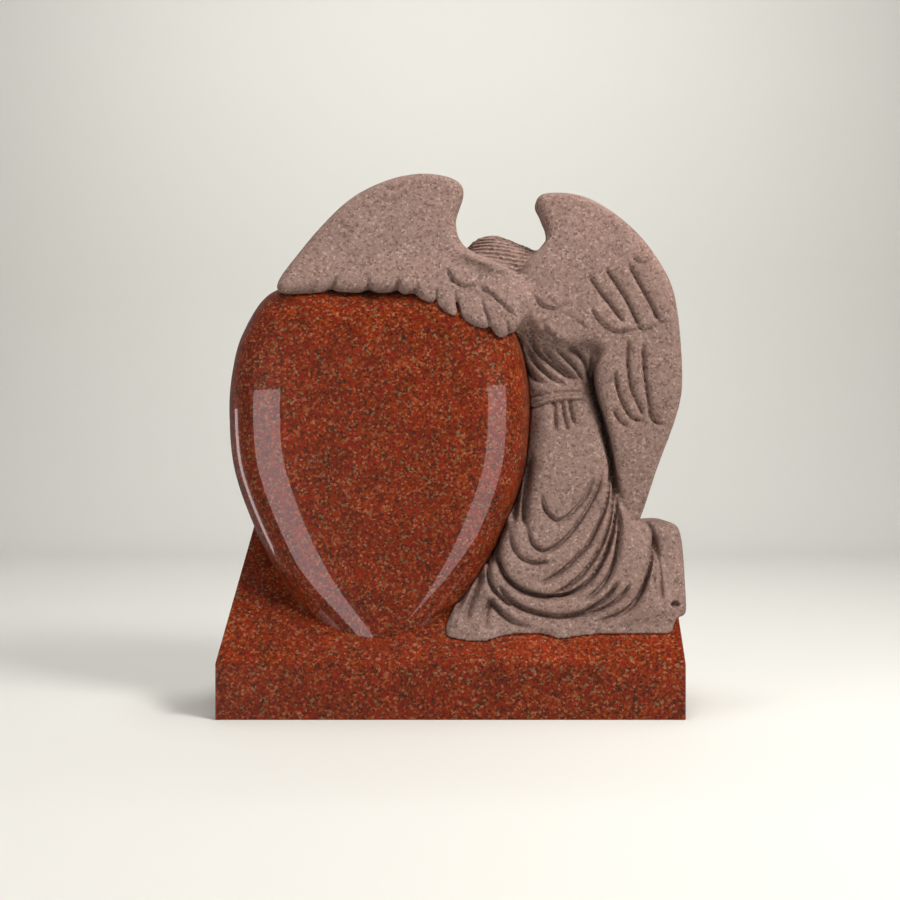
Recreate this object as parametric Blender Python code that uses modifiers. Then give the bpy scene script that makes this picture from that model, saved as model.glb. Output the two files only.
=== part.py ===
"""Heart headstone with a kneeling angel, at real size in metres. Run it in Blender 4.5."""

import math

import bmesh
import bpy
import numpy as np

# Base: a front band, then a face that slopes back to a level top behind the heart
BASE_WIDTH = 0.650
BASE_DEPTH = 0.240
BAND_HEIGHT = 0.077
SHOULDER_HEIGHT = 0.262
SLOPE_RUN = 0.174
LEFT_LEAN = 0.028
ARRIS = 0.0015

# Heart: a cushion with a rounded rim, its foot sunk into the slope
HEART_WIDTH = 0.438
HEART_HEIGHT = 0.607
HEART_THICKNESS = 0.152
HEART_FOOT = 0.008
HEART_OFF_CENTRE = 0.103
HEART_SETBACK = 0.104
HEART_MIDDLE = 0.62
RIM_REACH = 0.105
RIM_SQUARENESS = 3.4
HEART_COLUMNS = 72
HEART_RINGS = 6
HEART_PIECES = 24
RAY_STEPS = 80

# Angel: kneels at the heart's right with the left wing over its top
WING_RISE = 0.158
ANGEL_STANDOFF = 0.004
HEM_SETBACK = 0.0263
CLEARANCE = 0.0004
OVERHANG_ROOM = 0.05

# How finely the angel is worked out, and how many triangles it keeps
GRID = 0.0034
GRID_ROOM = 0.04
ANGEL_FACETS = 8200
CURVE_PIECES = 5

FRONT = -BASE_DEPTH / 2
SLOPE = (SHOULDER_HEIGHT - BAND_HEIGHT) / SLOPE_RUN
HEART_X = -HEART_OFF_CENTRE
HEART_Y = FRONT + HEART_SETBACK
ANGEL_X = HEART_X + HEART_WIDTH / 2 + ANGEL_STANDOFF
ANGEL_Z = BAND_HEIGHT + SLOPE * HEM_SETBACK
ANGEL_HEIGHT = HEART_FOOT + HEART_HEIGHT + WING_RISE - ANGEL_Z

# Right half of the heart's outline from the notch to the foot, in shares of half width and height
HALF_HEART = [
    (0, 0.985), (0.205, 0.991), (0.46, 1.0), (0.735, 0.974), (0.909, 0.881), (0.979, 0.790),
    (1.0, 0.685), (0.959, 0.543), (0.79, 0.381), (0.59, 0.252), (0.35, 0.141), (0, 0),
]

# The angel's outlines and carving, seen from the front, in shares of its height from its own foot
LEFT_WING = [
    (-0.546, 0.738), (-0.5, 0.831), (-0.412, 0.934), (-0.332, 0.983), (-0.251, 1.003),
    (-0.179, 0.994), (-0.151, 0.963), (-0.168, 0.896), (-0.146, 0.836), (-0.05, 0.785),
    (-0.008, 0.725), (-0.054, 0.641), (-0.11, 0.653), (-0.174, 0.674), (-0.269, 0.729),
    (-0.41, 0.736),
]

RIGHT_WING = [
    (0.029, 0.86), (0.019, 0.905), (0.006, 0.936), (0.024, 0.96), (0.092, 0.959), (0.155, 0.932),
    (0.222, 0.876), (0.275, 0.802), (0.305, 0.725), (0.318, 0.583), (0.312, 0.494), (0.267, 0.361),
    (0.226, 0.241), (0.191, 0.248), (0.187, 0.304), (0.176, 0.379), (0.163, 0.444), (0.141, 0.52),
    (0.134, 0.575), (0.138, 0.624), (0.05, 0.627), (-0.007, 0.672), (-0.028, 0.75), (-0.018, 0.80),
]

BODICE = [
    (-0.036, 0.775), (0.031, 0.79), (0.132, 0.736), (0.16, 0.635), (0.15, 0.521), (0.154, 0.44),
    (-0.004, 0.44), (-0.014, 0.512), (-0.028, 0.61), (-0.055, 0.69), (-0.069, 0.736),
]

SKIRT = [
    (-0.012, 0.556), (0.06, 0.572), (0.14, 0.556), (0.179, 0.412), (0.203, 0.267), (0.266, 0.19),
    (0.302, 0.069), (0.272, -0.03), (0.151, -0.046), (-0.026, -0.046), (-0.2, -0.041),
    (-0.204, -0.002), (-0.145, 0.113), (-0.083, 0.201), (-0.035, 0.334), (-0.014, 0.445),
]

LEG = [
    (0.195, 0.235), (0.252, 0.245), (0.3, 0.243), (0.32, 0.216), (0.324, 0.12), (0.324, 0.03),
    (0.316, -0.03), (0.244, -0.04), (0.159, -0.03), (0.14, 0.08),
]

BELT_TOP = [
    (-0.025, 0.511), (-0.005, 0.515), (0.025, 0.52), (0.058, 0.525), (0.097, 0.526), (0.127, 0.52),
]

BELT_MID = [
    (-0.025, 0.5), (-0.005, 0.504), (0.025, 0.51), (0.058, 0.516), (0.095, 0.518), (0.127, 0.513),
]

BELT_LOW = [
    (-0.025, 0.487), (-0.005, 0.492), (0.025, 0.5), (0.058, 0.507), (0.095, 0.509), (0.127, 0.506),
]

LEFT_WING_GAPS = [
    [(-0.434, 0.739), (-0.42, 0.77)],
    [(-0.355, 0.739), (-0.354, 0.768)],
    [(-0.295, 0.741), (-0.29, 0.768)],
    [(-0.259, 0.728), (-0.249, 0.757)],
    [(-0.213, 0.698), (-0.21, 0.726), (-0.211, 0.746)],
    [(-0.16, 0.676), (-0.164, 0.702), (-0.17, 0.722), (-0.174, 0.741)],
    [(-0.096, 0.652), (-0.102, 0.68), (-0.111, 0.7), (-0.117, 0.737)],
    [(-0.052, 0.639), (-0.06, 0.663), (-0.07, 0.685)],
]

LEFT_WING_SCALLOPS = [
    [(-0.189, 0.787), (-0.176, 0.763), (-0.159, 0.75), (-0.142, 0.746), (-0.123, 0.748)],
    [(-0.117, 0.741), (-0.096, 0.733), (-0.079, 0.717), (-0.062, 0.702), (-0.041, 0.683)],
]

RIGHT_WING_GROOVES = [
    [(0.201, 0.802), (0.23, 0.749), (0.249, 0.714), (0.267, 0.675)],
    [(0.153, 0.789), (0.185, 0.743), (0.206, 0.705), (0.225, 0.662)],
    [(0.117, 0.773), (0.142, 0.738), (0.167, 0.705), (0.19, 0.673)],
]

# Each edge is how strong it is, then its curve
RIGHT_WING_SCALLOPS = [
    (0.8, [(-0.004, 0.734), (0.013, 0.714), (0.03, 0.705), (0.047, 0.703), (0.068, 0.716)]),
    (1, [(0.019, 0.669), (0.032, 0.652), (0.047, 0.637), (0.068, 0.628)]),
    (0.3, [(0.064, 0.69), (0.087, 0.681), (0.102, 0.669), (0.115, 0.656)]),
    (1, [(0.122, 0.705), (0.132, 0.688), (0.147, 0.671), (0.167, 0.658), (0.192, 0.654), (0.222, 0.66)]),
    (0.8, [(0.22, 0.669), (0.233, 0.66), (0.25, 0.662), (0.267, 0.677)]),
    (0.4, [(0.267, 0.677), (0.285, 0.671), (0.302, 0.684)]),
    (0.6, [(0.21, 0.815), (0.223, 0.806), (0.238, 0.804), (0.258, 0.817)]),
    (0.5, [(0.107, 0.632), (0.124, 0.634), (0.141, 0.643)]),
]

RIGHT_WING_LOWER = [
    [(0.201, 0.637), (0.199, 0.605), (0.202, 0.568), (0.208, 0.532), (0.226, 0.493), (0.233, 0.474)],
    [(0.231, 0.626), (0.234, 0.59), (0.238, 0.551), (0.245, 0.508), (0.254, 0.467), (0.278, 0.454)],
    [(0.172, 0.568), (0.176, 0.542), (0.185, 0.512), (0.2, 0.482), (0.215, 0.467), (0.235, 0.463)],
    [(0.17, 0.487), (0.183, 0.465), (0.198, 0.452)],
]

BODICE_FOLDS = [
    [
        (-0.01, 0.656), (0.003, 0.623), (0.018, 0.604), (0.04, 0.585), (0.068, 0.563), (0.096, 0.541),
        (0.122, 0.522),
    ],
    [(0.02, 0.623), (0.049, 0.591), (0.07, 0.574), (0.094, 0.552), (0.122, 0.526)],
    [(0.051, 0.619), (0.077, 0.593), (0.096, 0.572), (0.114, 0.546), (0.125, 0.528)],
    [(-0.016, 0.625), (0.005, 0.591), (0.025, 0.569), (0.049, 0.55), (0.075, 0.535), (0.105, 0.526)],
    [(-0.021, 0.591), (-0.001, 0.561), (0.021, 0.543), (0.049, 0.533), (0.088, 0.526)],
    [(0.074, 0.628), (0.1, 0.606), (0.116, 0.582), (0.125, 0.552)],
]

PLEATS = [
    [(0.044, 0.509), (0.046, 0.476), (0.048, 0.442)],
    [(0.06, 0.509), (0.066, 0.476), (0.072, 0.442)],
    [(0.078, 0.509), (0.081, 0.483), (0.089, 0.455)],
]

# Each swag is how strong it is, then its curve
SWAGS = [
    (0.45, [
        (0.016, 0.304), (0.022, 0.277), (0.035, 0.26), (0.05, 0.251), (0.067, 0.258), (0.088, 0.277),
        (0.11, 0.304), (0.128, 0.349),
    ]),
    (0.55, [
        (-0.017, 0.243), (-0.006, 0.205), (0.01, 0.19), (0.025, 0.188), (0.047, 0.199), (0.072, 0.22),
        (0.096, 0.251), (0.118, 0.285), (0.136, 0.319), (0.146, 0.358),
    ]),
    (0.45, [(-0.053, 0.222), (-0.041, 0.186), (-0.02, 0.167), (0.008, 0.161), (0.031, 0.165)]),
    (0.75, [
        (0.012, 0.119), (0.052, 0.142), (0.086, 0.172), (0.113, 0.201), (0.135, 0.243), (0.153, 0.285),
        (0.162, 0.328), (0.165, 0.362),
    ]),
    (0.8, [
        (0.041, 0.098), (0.069, 0.113), (0.099, 0.138), (0.125, 0.172), (0.145, 0.207), (0.16, 0.251),
        (0.17, 0.298), (0.173, 0.336),
    ]),
    (1.2, [
        (-0.074, 0.209), (-0.077, 0.176), (-0.068, 0.146), (-0.052, 0.123), (-0.024, 0.104),
        (0.01, 0.094), (0.043, 0.092), (0.073, 0.098), (0.103, 0.115), (0.129, 0.142), (0.15, 0.18),
        (0.166, 0.222), (0.176, 0.264), (0.179, 0.298),
    ]),
    (0.8, [(-0.096, 0.184), (-0.098, 0.146), (-0.092, 0.115), (-0.075, 0.092), (-0.05, 0.071)]),
    (1.1, [
        (-0.075, 0.111), (-0.056, 0.088), (-0.033, 0.071), (-0.008, 0.061), (0.02, 0.054),
        (0.052, 0.05), (0.085, 0.055), (0.119, 0.069), (0.149, 0.09), (0.173, 0.119),
    ]),
    (0.7, [(0.064, 0.05), (0.098, 0.052), (0.13, 0.061), (0.157, 0.073), (0.181, 0.092), (0.198, 0.115)]),
    (1.2, [
        (0.255, 0.199), (0.252, 0.167), (0.243, 0.138), (0.23, 0.104), (0.212, 0.075), (0.189, 0.056),
        (0.161, 0.044), (0.132, 0.036),
    ]),
    (0.8, [
        (-0.092, 0.079), (-0.075, 0.061), (-0.054, 0.044), (-0.029, 0.029), (0.001, 0.015),
        (0.034, 0.002),
    ]),
    (0.9, [
        (0.186, 0.266), (0.184, 0.23), (0.178, 0.192), (0.169, 0.157), (0.154, 0.125), (0.132, 0.1),
        (0.107, 0.081),
    ]),
]

FAN_FOLDS = [
    [(-0.109, 0.14), (-0.126, 0.104), (-0.138, 0.073), (-0.149, 0.04)],
    [(-0.098, 0.192), (-0.117, 0.146), (-0.143, 0.104), (-0.168, 0.059)],
    [(-0.09, 0.084), (-0.103, 0.059), (-0.111, 0.021)],
    [(-0.022, 0.39), (-0.028, 0.347), (-0.035, 0.294), (-0.046, 0.243)],
    [(-0.006, 0.39), (-0.013, 0.336), (-0.02, 0.283), (-0.021, 0.235)],
    [(-0.063, 0.251), (-0.081, 0.199), (-0.094, 0.155)],
]

LEG_GROOVES = [
    [(0.241, 0.253), (0.256, 0.226), (0.259, 0.188), (0.256, 0.146), (0.245, 0.111)],
    [(0.26, 0.218), (0.265, 0.176), (0.266, 0.125), (0.267, 0.084)],
]

SIDE_GAP = [
    (0.128, 0.6), (0.13, 0.56), (0.134, 0.52), (0.149, 0.475), (0.157, 0.437), (0.169, 0.375), (0.18, 0.31),
]

ROOT_RIDGE = [
    (-0.157, 0.823), (-0.129, 0.807), (-0.087, 0.791), (-0.055, 0.783), (-0.04, 0.79),
    (-0.022, 0.809), (0.01, 0.829),
]

# How far the hem waves behind the even front, by how far across
HEM_LINE = [
    (-0.179, -0.004), (-0.147, -0.008), (-0.107, -0.01), (-0.076, -0.002), (-0.034, 0.004),
    (0.006, 0.004), (0.046, -0.006), (0.082, -0.002), (0.128, 0.004), (0.208, 0.012), (0.25, 0.019),
]
HEM_REACH = 0.07

# How far each form's front and back lie behind the base's front, by height, in shares of the same height
LEFT_WING_FRONT = [(0.64, 0.026), (0.74, 0.048), (0.84, 0.088), (1.0, 0.126)]
LEFT_WING_ROOT = (-0.11, -0.01, 0.03)
LEFT_WING_BACK = [(0.64, 0.2), (0.8, 0.187), (1.0, 0.188)]
RIGHT_WING_FRONT = [(0.24, 0.122), (0.45, 0.098), (0.63, 0.088), (0.8, 0.095), (0.96, 0.13)]
RIGHT_WING_BACK = [(0.24, 0.172), (0.45, 0.165), (0.63, 0.2), (0.8, 0.21), (0.96, 0.194)]
BODICE_FRONT = [(0.44, 0.128), (0.53, 0.122), (0.65, 0.106), (0.75, 0.108), (0.82, 0.13)]
BODICE_BACK = [(0.45, 0.28), (0.65, 0.29), (0.82, 0.26)]
SKIRT_FRONT = [
    (-0.05, 0.041), (0.02, 0.045), (0.1, 0.055), (0.2, 0.072), (0.3, 0.09), (0.42, 0.108), (0.54, 0.124),
]
SKIRT_BACK = [(-0.05, 0.3), (0.2, 0.3), (0.42, 0.29), (0.54, 0.28)]
LEG_FRONT = [(-0.03, 0.066), (0.1, 0.076), (0.2, 0.096), (0.25, 0.12)]
LEG_BACK = [(-0.03, 0.3), (0.25, 0.29)]

# How far in from its outline each form starts to round back, by height
LEFT_WING_ROLL = [(0.6, 0.024)]
RIGHT_WING_ROLL = [(0.5, 0.012), (0.8, 0.022)]
BODICE_ROLL = [(0.5, 0.055)]
SKIRT_ROLL = [(0.0, 0.02), (0.25, 0.055)]
LEG_ROLL = [(0.0, 0.016), (0.2, 0.03)]

# Fillets where forms meet; the right wing's goes from tight to loose between two heights
WING_FILLET = 0.025
CLOTH_FILLET = 0.008
SLEEVE_FILLET = 0.012
EDGE_FILLET = (0.004, 0.018, 0.62, 0.72)

# Carving, each as width and depth, and for raised edges as rise and reach
FEATHER_GAP = (0.005, 0.009)
NOTCH_DEPTH = 0.008
NOTCH_REACH = 0.011
ROOT_SWELL = (0.014, 0.010)
LONG_GROOVE = (0.005, 0.016)
FEATHER_EDGE = (0.010, 0.040)
EDGE_CUT = (0.004, 0.008)
BODICE_FOLD = (0.005, 0.016)
SWAG_FOLD = (0.0065, 0.022)
SWAG_EDGE = (0.006, 0.020)
FAN_FOLD = (0.006, 0.015)
PLEAT = (0.004, 0.012)
LEG_FOLD = (0.006, 0.024)
BELT_LINE = (0.004, 0.007)
BELT_SWELL = (0.010, 0.008)
SIDE_CUT = (0.006, 0.040)

# A furrow's narrow core as a share of its depth, and how quickly its ends and open ends fade
CORE_SHARE = 0.6
END_FADE = 7
END_LEFT = 0.2
OPEN_FADE = 1.6
EDGE_FADE = 8
SWAG_LEAN = -0.3

# How far corners between depths are rounded, and the most of half a form's depth that its roll may take
SHEET_ROUNDING = 0.06
SHEET_STEPS = 9
MOST_ROLL = 0.95

# How much of the folds is left at the hem, and how thin the cloth may get in front of the base
HEM_CALM = 0.4
LEAST_CLOTH = 0.012
LEAST_ROOM = 0.0024

# Head and arms: centres as across, behind the front and up, then half sizes
SKULL = ((-0.088, 0.222, 0.806), (0.068, 0.076, 0.072))
HAIR = ((-0.045, 0.2, 0.795), (0.078, 0.06, 0.06))
NECK = ((-0.02, 0.2, 0.77), (0.0, 0.2, 0.7), 0.045)
SLEEVES = [
    ((0.02, 0.24, 0.72), (-0.1, 0.245, 0.755), 0.044),
    ((-0.1, 0.245, 0.755), (-0.25, 0.215, 0.745), 0.036),
    ((0.06, 0.27, 0.66), (-0.03, 0.28, 0.72), 0.042),
    ((-0.03, 0.28, 0.72), (-0.19, 0.25, 0.762), 0.036),
]
HAND = ((-0.29, 0.205, 0.752), (0.045, 0.03, 0.018))

# The face looks down and back over the heart: each feature as forward, sideways and up, then half sizes
FACE_FORWARD = (-0.25, 0.85, -0.46)
FACE_SIDE = (0.95, 0.29, 0.0)
FACE_UP = (-0.13, 0.43, 0.89)
FEATURES = [
    ((0.074, 0, -0.006), (0.010, 0.018, 0.018)),
    ((0.062, 0, 0.022), (0.036, 0.014, 0.010)),
    ((0.056, 0.026, -0.018), (0.022, 0.022, 0.022)),
    ((0.056, -0.026, -0.018), (0.022, 0.022, 0.022)),
    ((0.070, 0, -0.030), (0.015, 0.010, 0.006)),
    ((0.058, 0, -0.048), (0.022, 0.020, 0.018)),
]
STRAND = 0.024
STRAND_DEPTH = 0.0035
STRAND_SLANT = (0.3, 0.5)
HAIRLINE = 0.03
HAIRLINE_FADE = 0.05


def clear_scene():
    for thing in list(bpy.data.objects):
        bpy.data.objects.remove(thing, do_unlink=True)


def collection(name, hidden):
    made = bpy.data.collections.new(name)
    bpy.context.scene.collection.children.link(made)
    made.hide_render = hidden
    return made


def material(name, colour, roughness, coat):
    made = bpy.data.materials.new(name)
    made.use_nodes = True
    shader = made.node_tree.nodes["Principled BSDF"]
    shader.inputs["Base Color"].default_value = (*colour, 1.0)
    shader.inputs["Roughness"].default_value = roughness
    shader.inputs["Coat Weight"].default_value = coat
    made.diffuse_color = (*colour, 1.0)
    return made


def add_object(name, points, faces, home):
    mesh = bpy.data.meshes.new(name)
    mesh.from_pydata([tuple(map(float, p)) for p in points], [], [tuple(map(int, f)) for f in faces])
    mesh.validate()
    made = bpy.data.objects.new(name, mesh)
    home.objects.link(made)
    return made


def face_outward(thing):
    shape = bmesh.new()
    shape.from_mesh(thing.data)
    bmesh.ops.recalc_face_normals(shape, faces=shape.faces)
    shape.to_mesh(thing.data)
    shape.free()


def hide(thing):
    thing.hide_render = True
    thing.display_type = "WIRE"


def boolean(thing, other, operation):
    step = thing.modifiers.new(operation.title(), "BOOLEAN")
    step.operation = operation
    step.solver = "EXACT"
    step.object = other
    return step


def catmull(points, closed, pieces):
    """A smooth curve through the points, with this many pieces between each two."""
    points = np.array(points, float)
    count = len(points)
    out = []
    for i in range(count if closed else count - 1):
        if closed:
            a, b, c, d = (points[(i + k) % count] for k in (-1, 0, 1, 2))
        else:
            b, c = points[i], points[i + 1]
            a = points[i - 1] if i else 2 * b - c
            d = points[i + 2] if i + 2 < count else 2 * c - b
        for k in range(pieces):
            t = k / pieces
            out.append(
                0.5
                * (
                    2 * b
                    + (c - a) * t
                    + (2 * a - 5 * b + 4 * c - d) * t**2
                    + (3 * b - 3 * c + d - a) * t**3
                )
            )
    if not closed:
        out.append(points[-1])
    return np.array(out)


def heart_outline(columns):
    """The heart's outline at even steps, as points across and up from its middle line and foot."""
    right = catmull(HALF_HEART, False, HEART_PIECES)
    left = right[::-1][1:-1] * (-1, 1)
    loop = np.vstack([right, left]) * (HEART_WIDTH / 2, HEART_HEIGHT)
    loop = np.vstack([loop, loop[:1]])
    run = np.concatenate([[0], np.cumsum(np.hypot(*np.diff(loop, axis=0).T))])
    at = np.linspace(0, run[-1], columns, endpoint=False)
    return np.stack([np.interp(at, run, loop[:, 0]), np.interp(at, run, loop[:, 1])], axis=1)


def heart_mesh(name, home, grow, columns, rings):
    """The cushion: rings of the outline from front to back, each drawn in by its own distance."""
    outline = heart_outline(columns)
    middle = np.array((0, HEART_MIDDLE * HEART_HEIGHT))
    away = outline - middle
    shares = np.linspace(0, 1, RAY_STEPS)
    rays = middle + away[:, None, :] * shares[None, :, None]
    loop = np.vstack([outline, outline[:1]])
    depth_in = nearest(rays[:, :, 0], rays[:, :, 1], loop)[0]
    reach = np.hypot(away[:, 0], away[:, 1])
    half = HEART_THICKNESS / 2 + grow
    points, faces = [], []
    turns = np.linspace(math.pi / 2, -math.pi / 2, 2 * rings + 1)
    for turn in turns:
        inset = RIM_REACH * (1 - max(math.cos(turn), 0) ** (2 / RIM_SQUARENESS))
        for j in range(columns):
            share = np.interp(inset, depth_in[j, ::-1], shares[::-1]) + grow / reach[j]
            across, up = middle + away[j] * share
            points.append((HEART_X + across, HEART_Y - half * math.sin(turn), HEART_FOOT + up))
    for i in range(len(turns) - 1):
        for j in range(columns):
            k = (j + 1) % columns
            a, b = i * columns, (i + 1) * columns
            faces.append((a + j, a + k, b + k, b + j))
    for start, depth in ((0, -half), ((len(turns) - 1) * columns, half)):
        points.append((HEART_X, HEART_Y + depth, HEART_FOOT + middle[1]))
        for j in range(columns):
            faces.append((len(points) - 1, start + j, start + (j + 1) % columns))
    made = add_object(name, points, faces, home)
    face_outward(made)
    return made


def base_mesh(name, home, grow, overhang=0):
    """The base: front band, sloped face and level top, with its left side leaning in above the band."""
    rise = grow * math.hypot(1, SLOPE)
    crease = BAND_HEIGHT - grow * SLOPE + rise
    top = SHOULDER_HEIGHT + grow
    top_y = FRONT + (top - BAND_HEIGHT - rise) / SLOPE
    left = -BASE_WIDTH / 2 - grow
    front, back = FRONT - grow, FRONT + BASE_DEPTH + grow
    profile = [(front, -grow), (front, crease), (top_y, top), (back, top), (back, -grow)]
    shape = bmesh.new()
    side = shape.faces.new([shape.verts.new((left, y, z)) for y, z in profile])
    drawn = bmesh.ops.extrude_face_region(shape, geom=[side])["geom"]
    across = BASE_WIDTH + 2 * grow + overhang
    bmesh.ops.translate(
        shape, verts=[v for v in drawn if isinstance(v, bmesh.types.BMVert)], vec=(across, 0, 0)
    )
    cut = bmesh.ops.bisect_plane(
        shape,
        geom=shape.verts[:] + shape.edges[:] + shape.faces[:],
        plane_co=(left, 0, crease),
        plane_no=(crease - top, 0, LEFT_LEAN),
        clear_outer=True,
    )
    rim = [e for e in cut["geom_cut"] if isinstance(e, bmesh.types.BMEdge)]
    bmesh.ops.contextual_create(shape, geom=rim)
    bmesh.ops.remove_doubles(shape, verts=shape.verts, dist=1e-6)
    bmesh.ops.recalc_face_normals(shape, faces=shape.faces)
    mesh = bpy.data.meshes.new(name)
    shape.to_mesh(mesh)
    shape.free()
    made = bpy.data.objects.new(name, mesh)
    home.objects.link(made)
    return made


def nearest(across, up, points):
    """Distance to a curve, place along it from 0 to 1, and which side it lies on, over the whole sheet."""
    best = np.full(across.shape, 1e9)
    along = np.zeros(across.shape)
    side = np.ones(across.shape)
    total = len(points) - 1
    for i in range(total):
        (ax, az), (bx, bz) = points[i], points[i + 1]
        dx, dz = bx - ax, bz - az
        length = dx * dx + dz * dz + 1e-18
        share = np.clip(((across - ax) * dx + (up - az) * dz) / length, 0, 1)
        gap = np.hypot(across - ax - share * dx, up - az - share * dz)
        closer = gap < best
        best = np.where(closer, gap, best)
        along = np.where(closer, (i + share) / total, along)
        turn = dx * (up - az) - dz * (across - ax)
        side = np.where(closer, np.where(turn > 0, 1.0, -1.0), side)
    return best, along, side


def inside(across, up, outline):
    """Signed distance to a closed smooth outline, below zero within it."""
    loop = catmull(outline, True, CURVE_PIECES)
    loop = np.vstack([loop, loop[:1]])
    gap = nearest(across, up, loop)[0]
    crossings = np.zeros(across.shape, int)
    for (ax, az), (bx, bz) in zip(loop[:-1], loop[1:]):
        spans = (az > up) != (bz > up)
        if az != bz:
            crossings += spans & (across < ax + (up - az) * (bx - ax) / (bz - az))
    return np.where(crossings % 2 == 1, -gap, gap)


def groove(across, up, curve, width, depth, lean=0.0, open_end=False):
    """A furrow along a curve, fading at both ends, or only at its last if the first is open."""
    gap, along, side = nearest(across, up, catmull(curve, False, CURVE_PIECES))
    if open_end:
        fade = np.clip((1 - along) * OPEN_FADE, 0, 1)
    else:
        fade = np.clip(np.minimum(along, 1 - along) * END_FADE + END_LEFT, 0, 1)
    spread = gap / (width * (1 + lean * side))
    return depth * fade * (CORE_SHARE * np.exp(-(spread**2)) + (1 - CORE_SHARE) * np.exp(-spread / 2))


def lap(across, up, curve, rise, reach):
    """A feather's or fold's edge: raised on the curve's left-hand side, dropping at the curve."""
    gap, along, side = nearest(across, up, catmull(curve, False, CURVE_PIECES))
    fade = np.clip(np.minimum(along, 1 - along) * EDGE_FADE, 0, 1)
    return -rise * fade * np.where(side > 0, 1.0, 0.0) * np.exp(-gap / reach)


def sheet(up, table):
    """Depth by height, with the corners between the table's lines rounded off."""
    heights, depths = zip(*table)
    spread = np.linspace(-SHEET_ROUNDING, SHEET_ROUNDING, SHEET_STEPS)
    return sum(np.interp(up + shift, heights, depths) for shift in spread) / len(spread)


def ease(share):
    share = np.clip(share, 0, 1)
    return share * share * (3 - 2 * share)


def slab(depth, within, front, back, roll):
    """A rounded solid between a front and a back sheet, inside an outline."""
    half = (back - front) / 2
    roll = np.minimum(roll, half * MOST_ROLL)
    flat = np.abs(depth - ((front + back) / 2)[:, None, :]) - half[:, None, :]
    roll = roll[:, None, :]
    a = within[:, None, :] + roll
    b = flat + roll
    return np.minimum(np.maximum(a, b), 0) + np.hypot(np.maximum(a, 0), np.maximum(b, 0)) - roll


def egg(place, centre, half):
    scaled = [(p - c) / h for p, c, h in zip(place, centre, half)]
    return (np.sqrt(sum(s * s for s in scaled)) - 1) * min(half)


def limb(place, start, end, radius):
    run = np.subtract(end, start)
    share = sum((p - s) * r for p, s, r in zip(place, start, run)) / float(run @ run)
    share = np.clip(share, 0, 1)
    return np.sqrt(sum((p - s - share * r) ** 2 for p, s, r in zip(place, start, run))) - radius


def join(one, other, blend):
    """The nearer of two forms, with a fillet where they meet."""
    share = np.clip(0.5 + 0.5 * (other - one) / blend, 0, 1)
    return other + (one - other) * share - blend * share * (1 - share)


def hair_strands(place):
    """Shallow waves along the hair, fading out over the face."""
    ahead = sum((p - c) * f for p, c, f in zip(place, SKULL[0], FACE_FORWARD))
    slant = STRAND_SLANT[0] * place[0] + STRAND_SLANT[1] * place[1]
    wave = np.cos(2 * math.pi * (place[2] + slant) / STRAND)
    return STRAND_DEPTH * wave * np.clip((HAIRLINE - ahead) / HAIRLINE_FADE, 0, 1)


def wing_carving(across, up):
    """What is added to each wing's front: gaps and edges of feathers."""
    left = -groove(across, up, ROOT_RIDGE, *ROOT_SWELL)
    for curve in LEFT_WING_GAPS:
        left += groove(across, up, curve, *FEATHER_GAP, open_end=True)
    for curve in LEFT_WING_SCALLOPS:
        left += lap(across, up, curve, *FEATHER_EDGE) + groove(across, up, curve, *EDGE_CUT)
    right = np.zeros(across.shape)
    for curve in RIGHT_WING_GROOVES + RIGHT_WING_LOWER:
        right += groove(across, up, curve, *LONG_GROOVE)
    for strength, curve in RIGHT_WING_SCALLOPS:
        edge = lap(across, up, curve, *FEATHER_EDGE) + groove(across, up, curve, *EDGE_CUT)
        right += strength * edge
    return left, right


def cloth_carving(across, up):
    """What is added to the fronts of the bodice, and of skirt and leg: folds, belt and hem."""
    half, rise = BELT_SWELL
    belt = -rise * np.exp(-((nearest(across, up, catmull(BELT_MID, False, CURVE_PIECES))[0] / half) ** 4))
    for curve in (BELT_TOP, BELT_MID, BELT_LOW):
        belt += groove(across, up, curve, *BELT_LINE)
    for curve in PLEATS:
        belt += groove(across, up, curve, *PLEAT)
    belt += groove(across, up, SIDE_GAP, *SIDE_CUT)
    bodice = belt.copy()
    for curve in BODICE_FOLDS:
        bodice += groove(across, up, curve, *BODICE_FOLD)
    skirt = np.zeros(across.shape)
    for strength, curve in SWAGS:
        width, depth = SWAG_FOLD
        skirt += groove(across, up, curve, width, strength * depth, SWAG_LEAN)
        rise, reach = SWAG_EDGE
        skirt += lap(across, up, curve, strength * rise, reach)
    for curve in FAN_FOLDS:
        skirt += groove(across, up, curve, *FAN_FOLD)
    for curve in LEG_GROOVES:
        skirt += groove(across, up, curve, *LEG_FOLD)
    skirt = skirt * (HEM_CALM + (1 - HEM_CALM) * ease(up / HEM_REACH))
    skirt += np.interp(across, *zip(*HEM_LINE)) * (1 - ease(up / HEM_REACH))
    stone_behind = (HEM_SETBACK / ANGEL_HEIGHT + up / SLOPE) - sheet(up, SKIRT_FRONT)
    room = np.maximum(stone_behind - LEAST_CLOTH, LEAST_ROOM)
    skirt = np.where(skirt > 0, room * np.tanh(skirt / room), skirt)
    return bodice, skirt + belt


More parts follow.
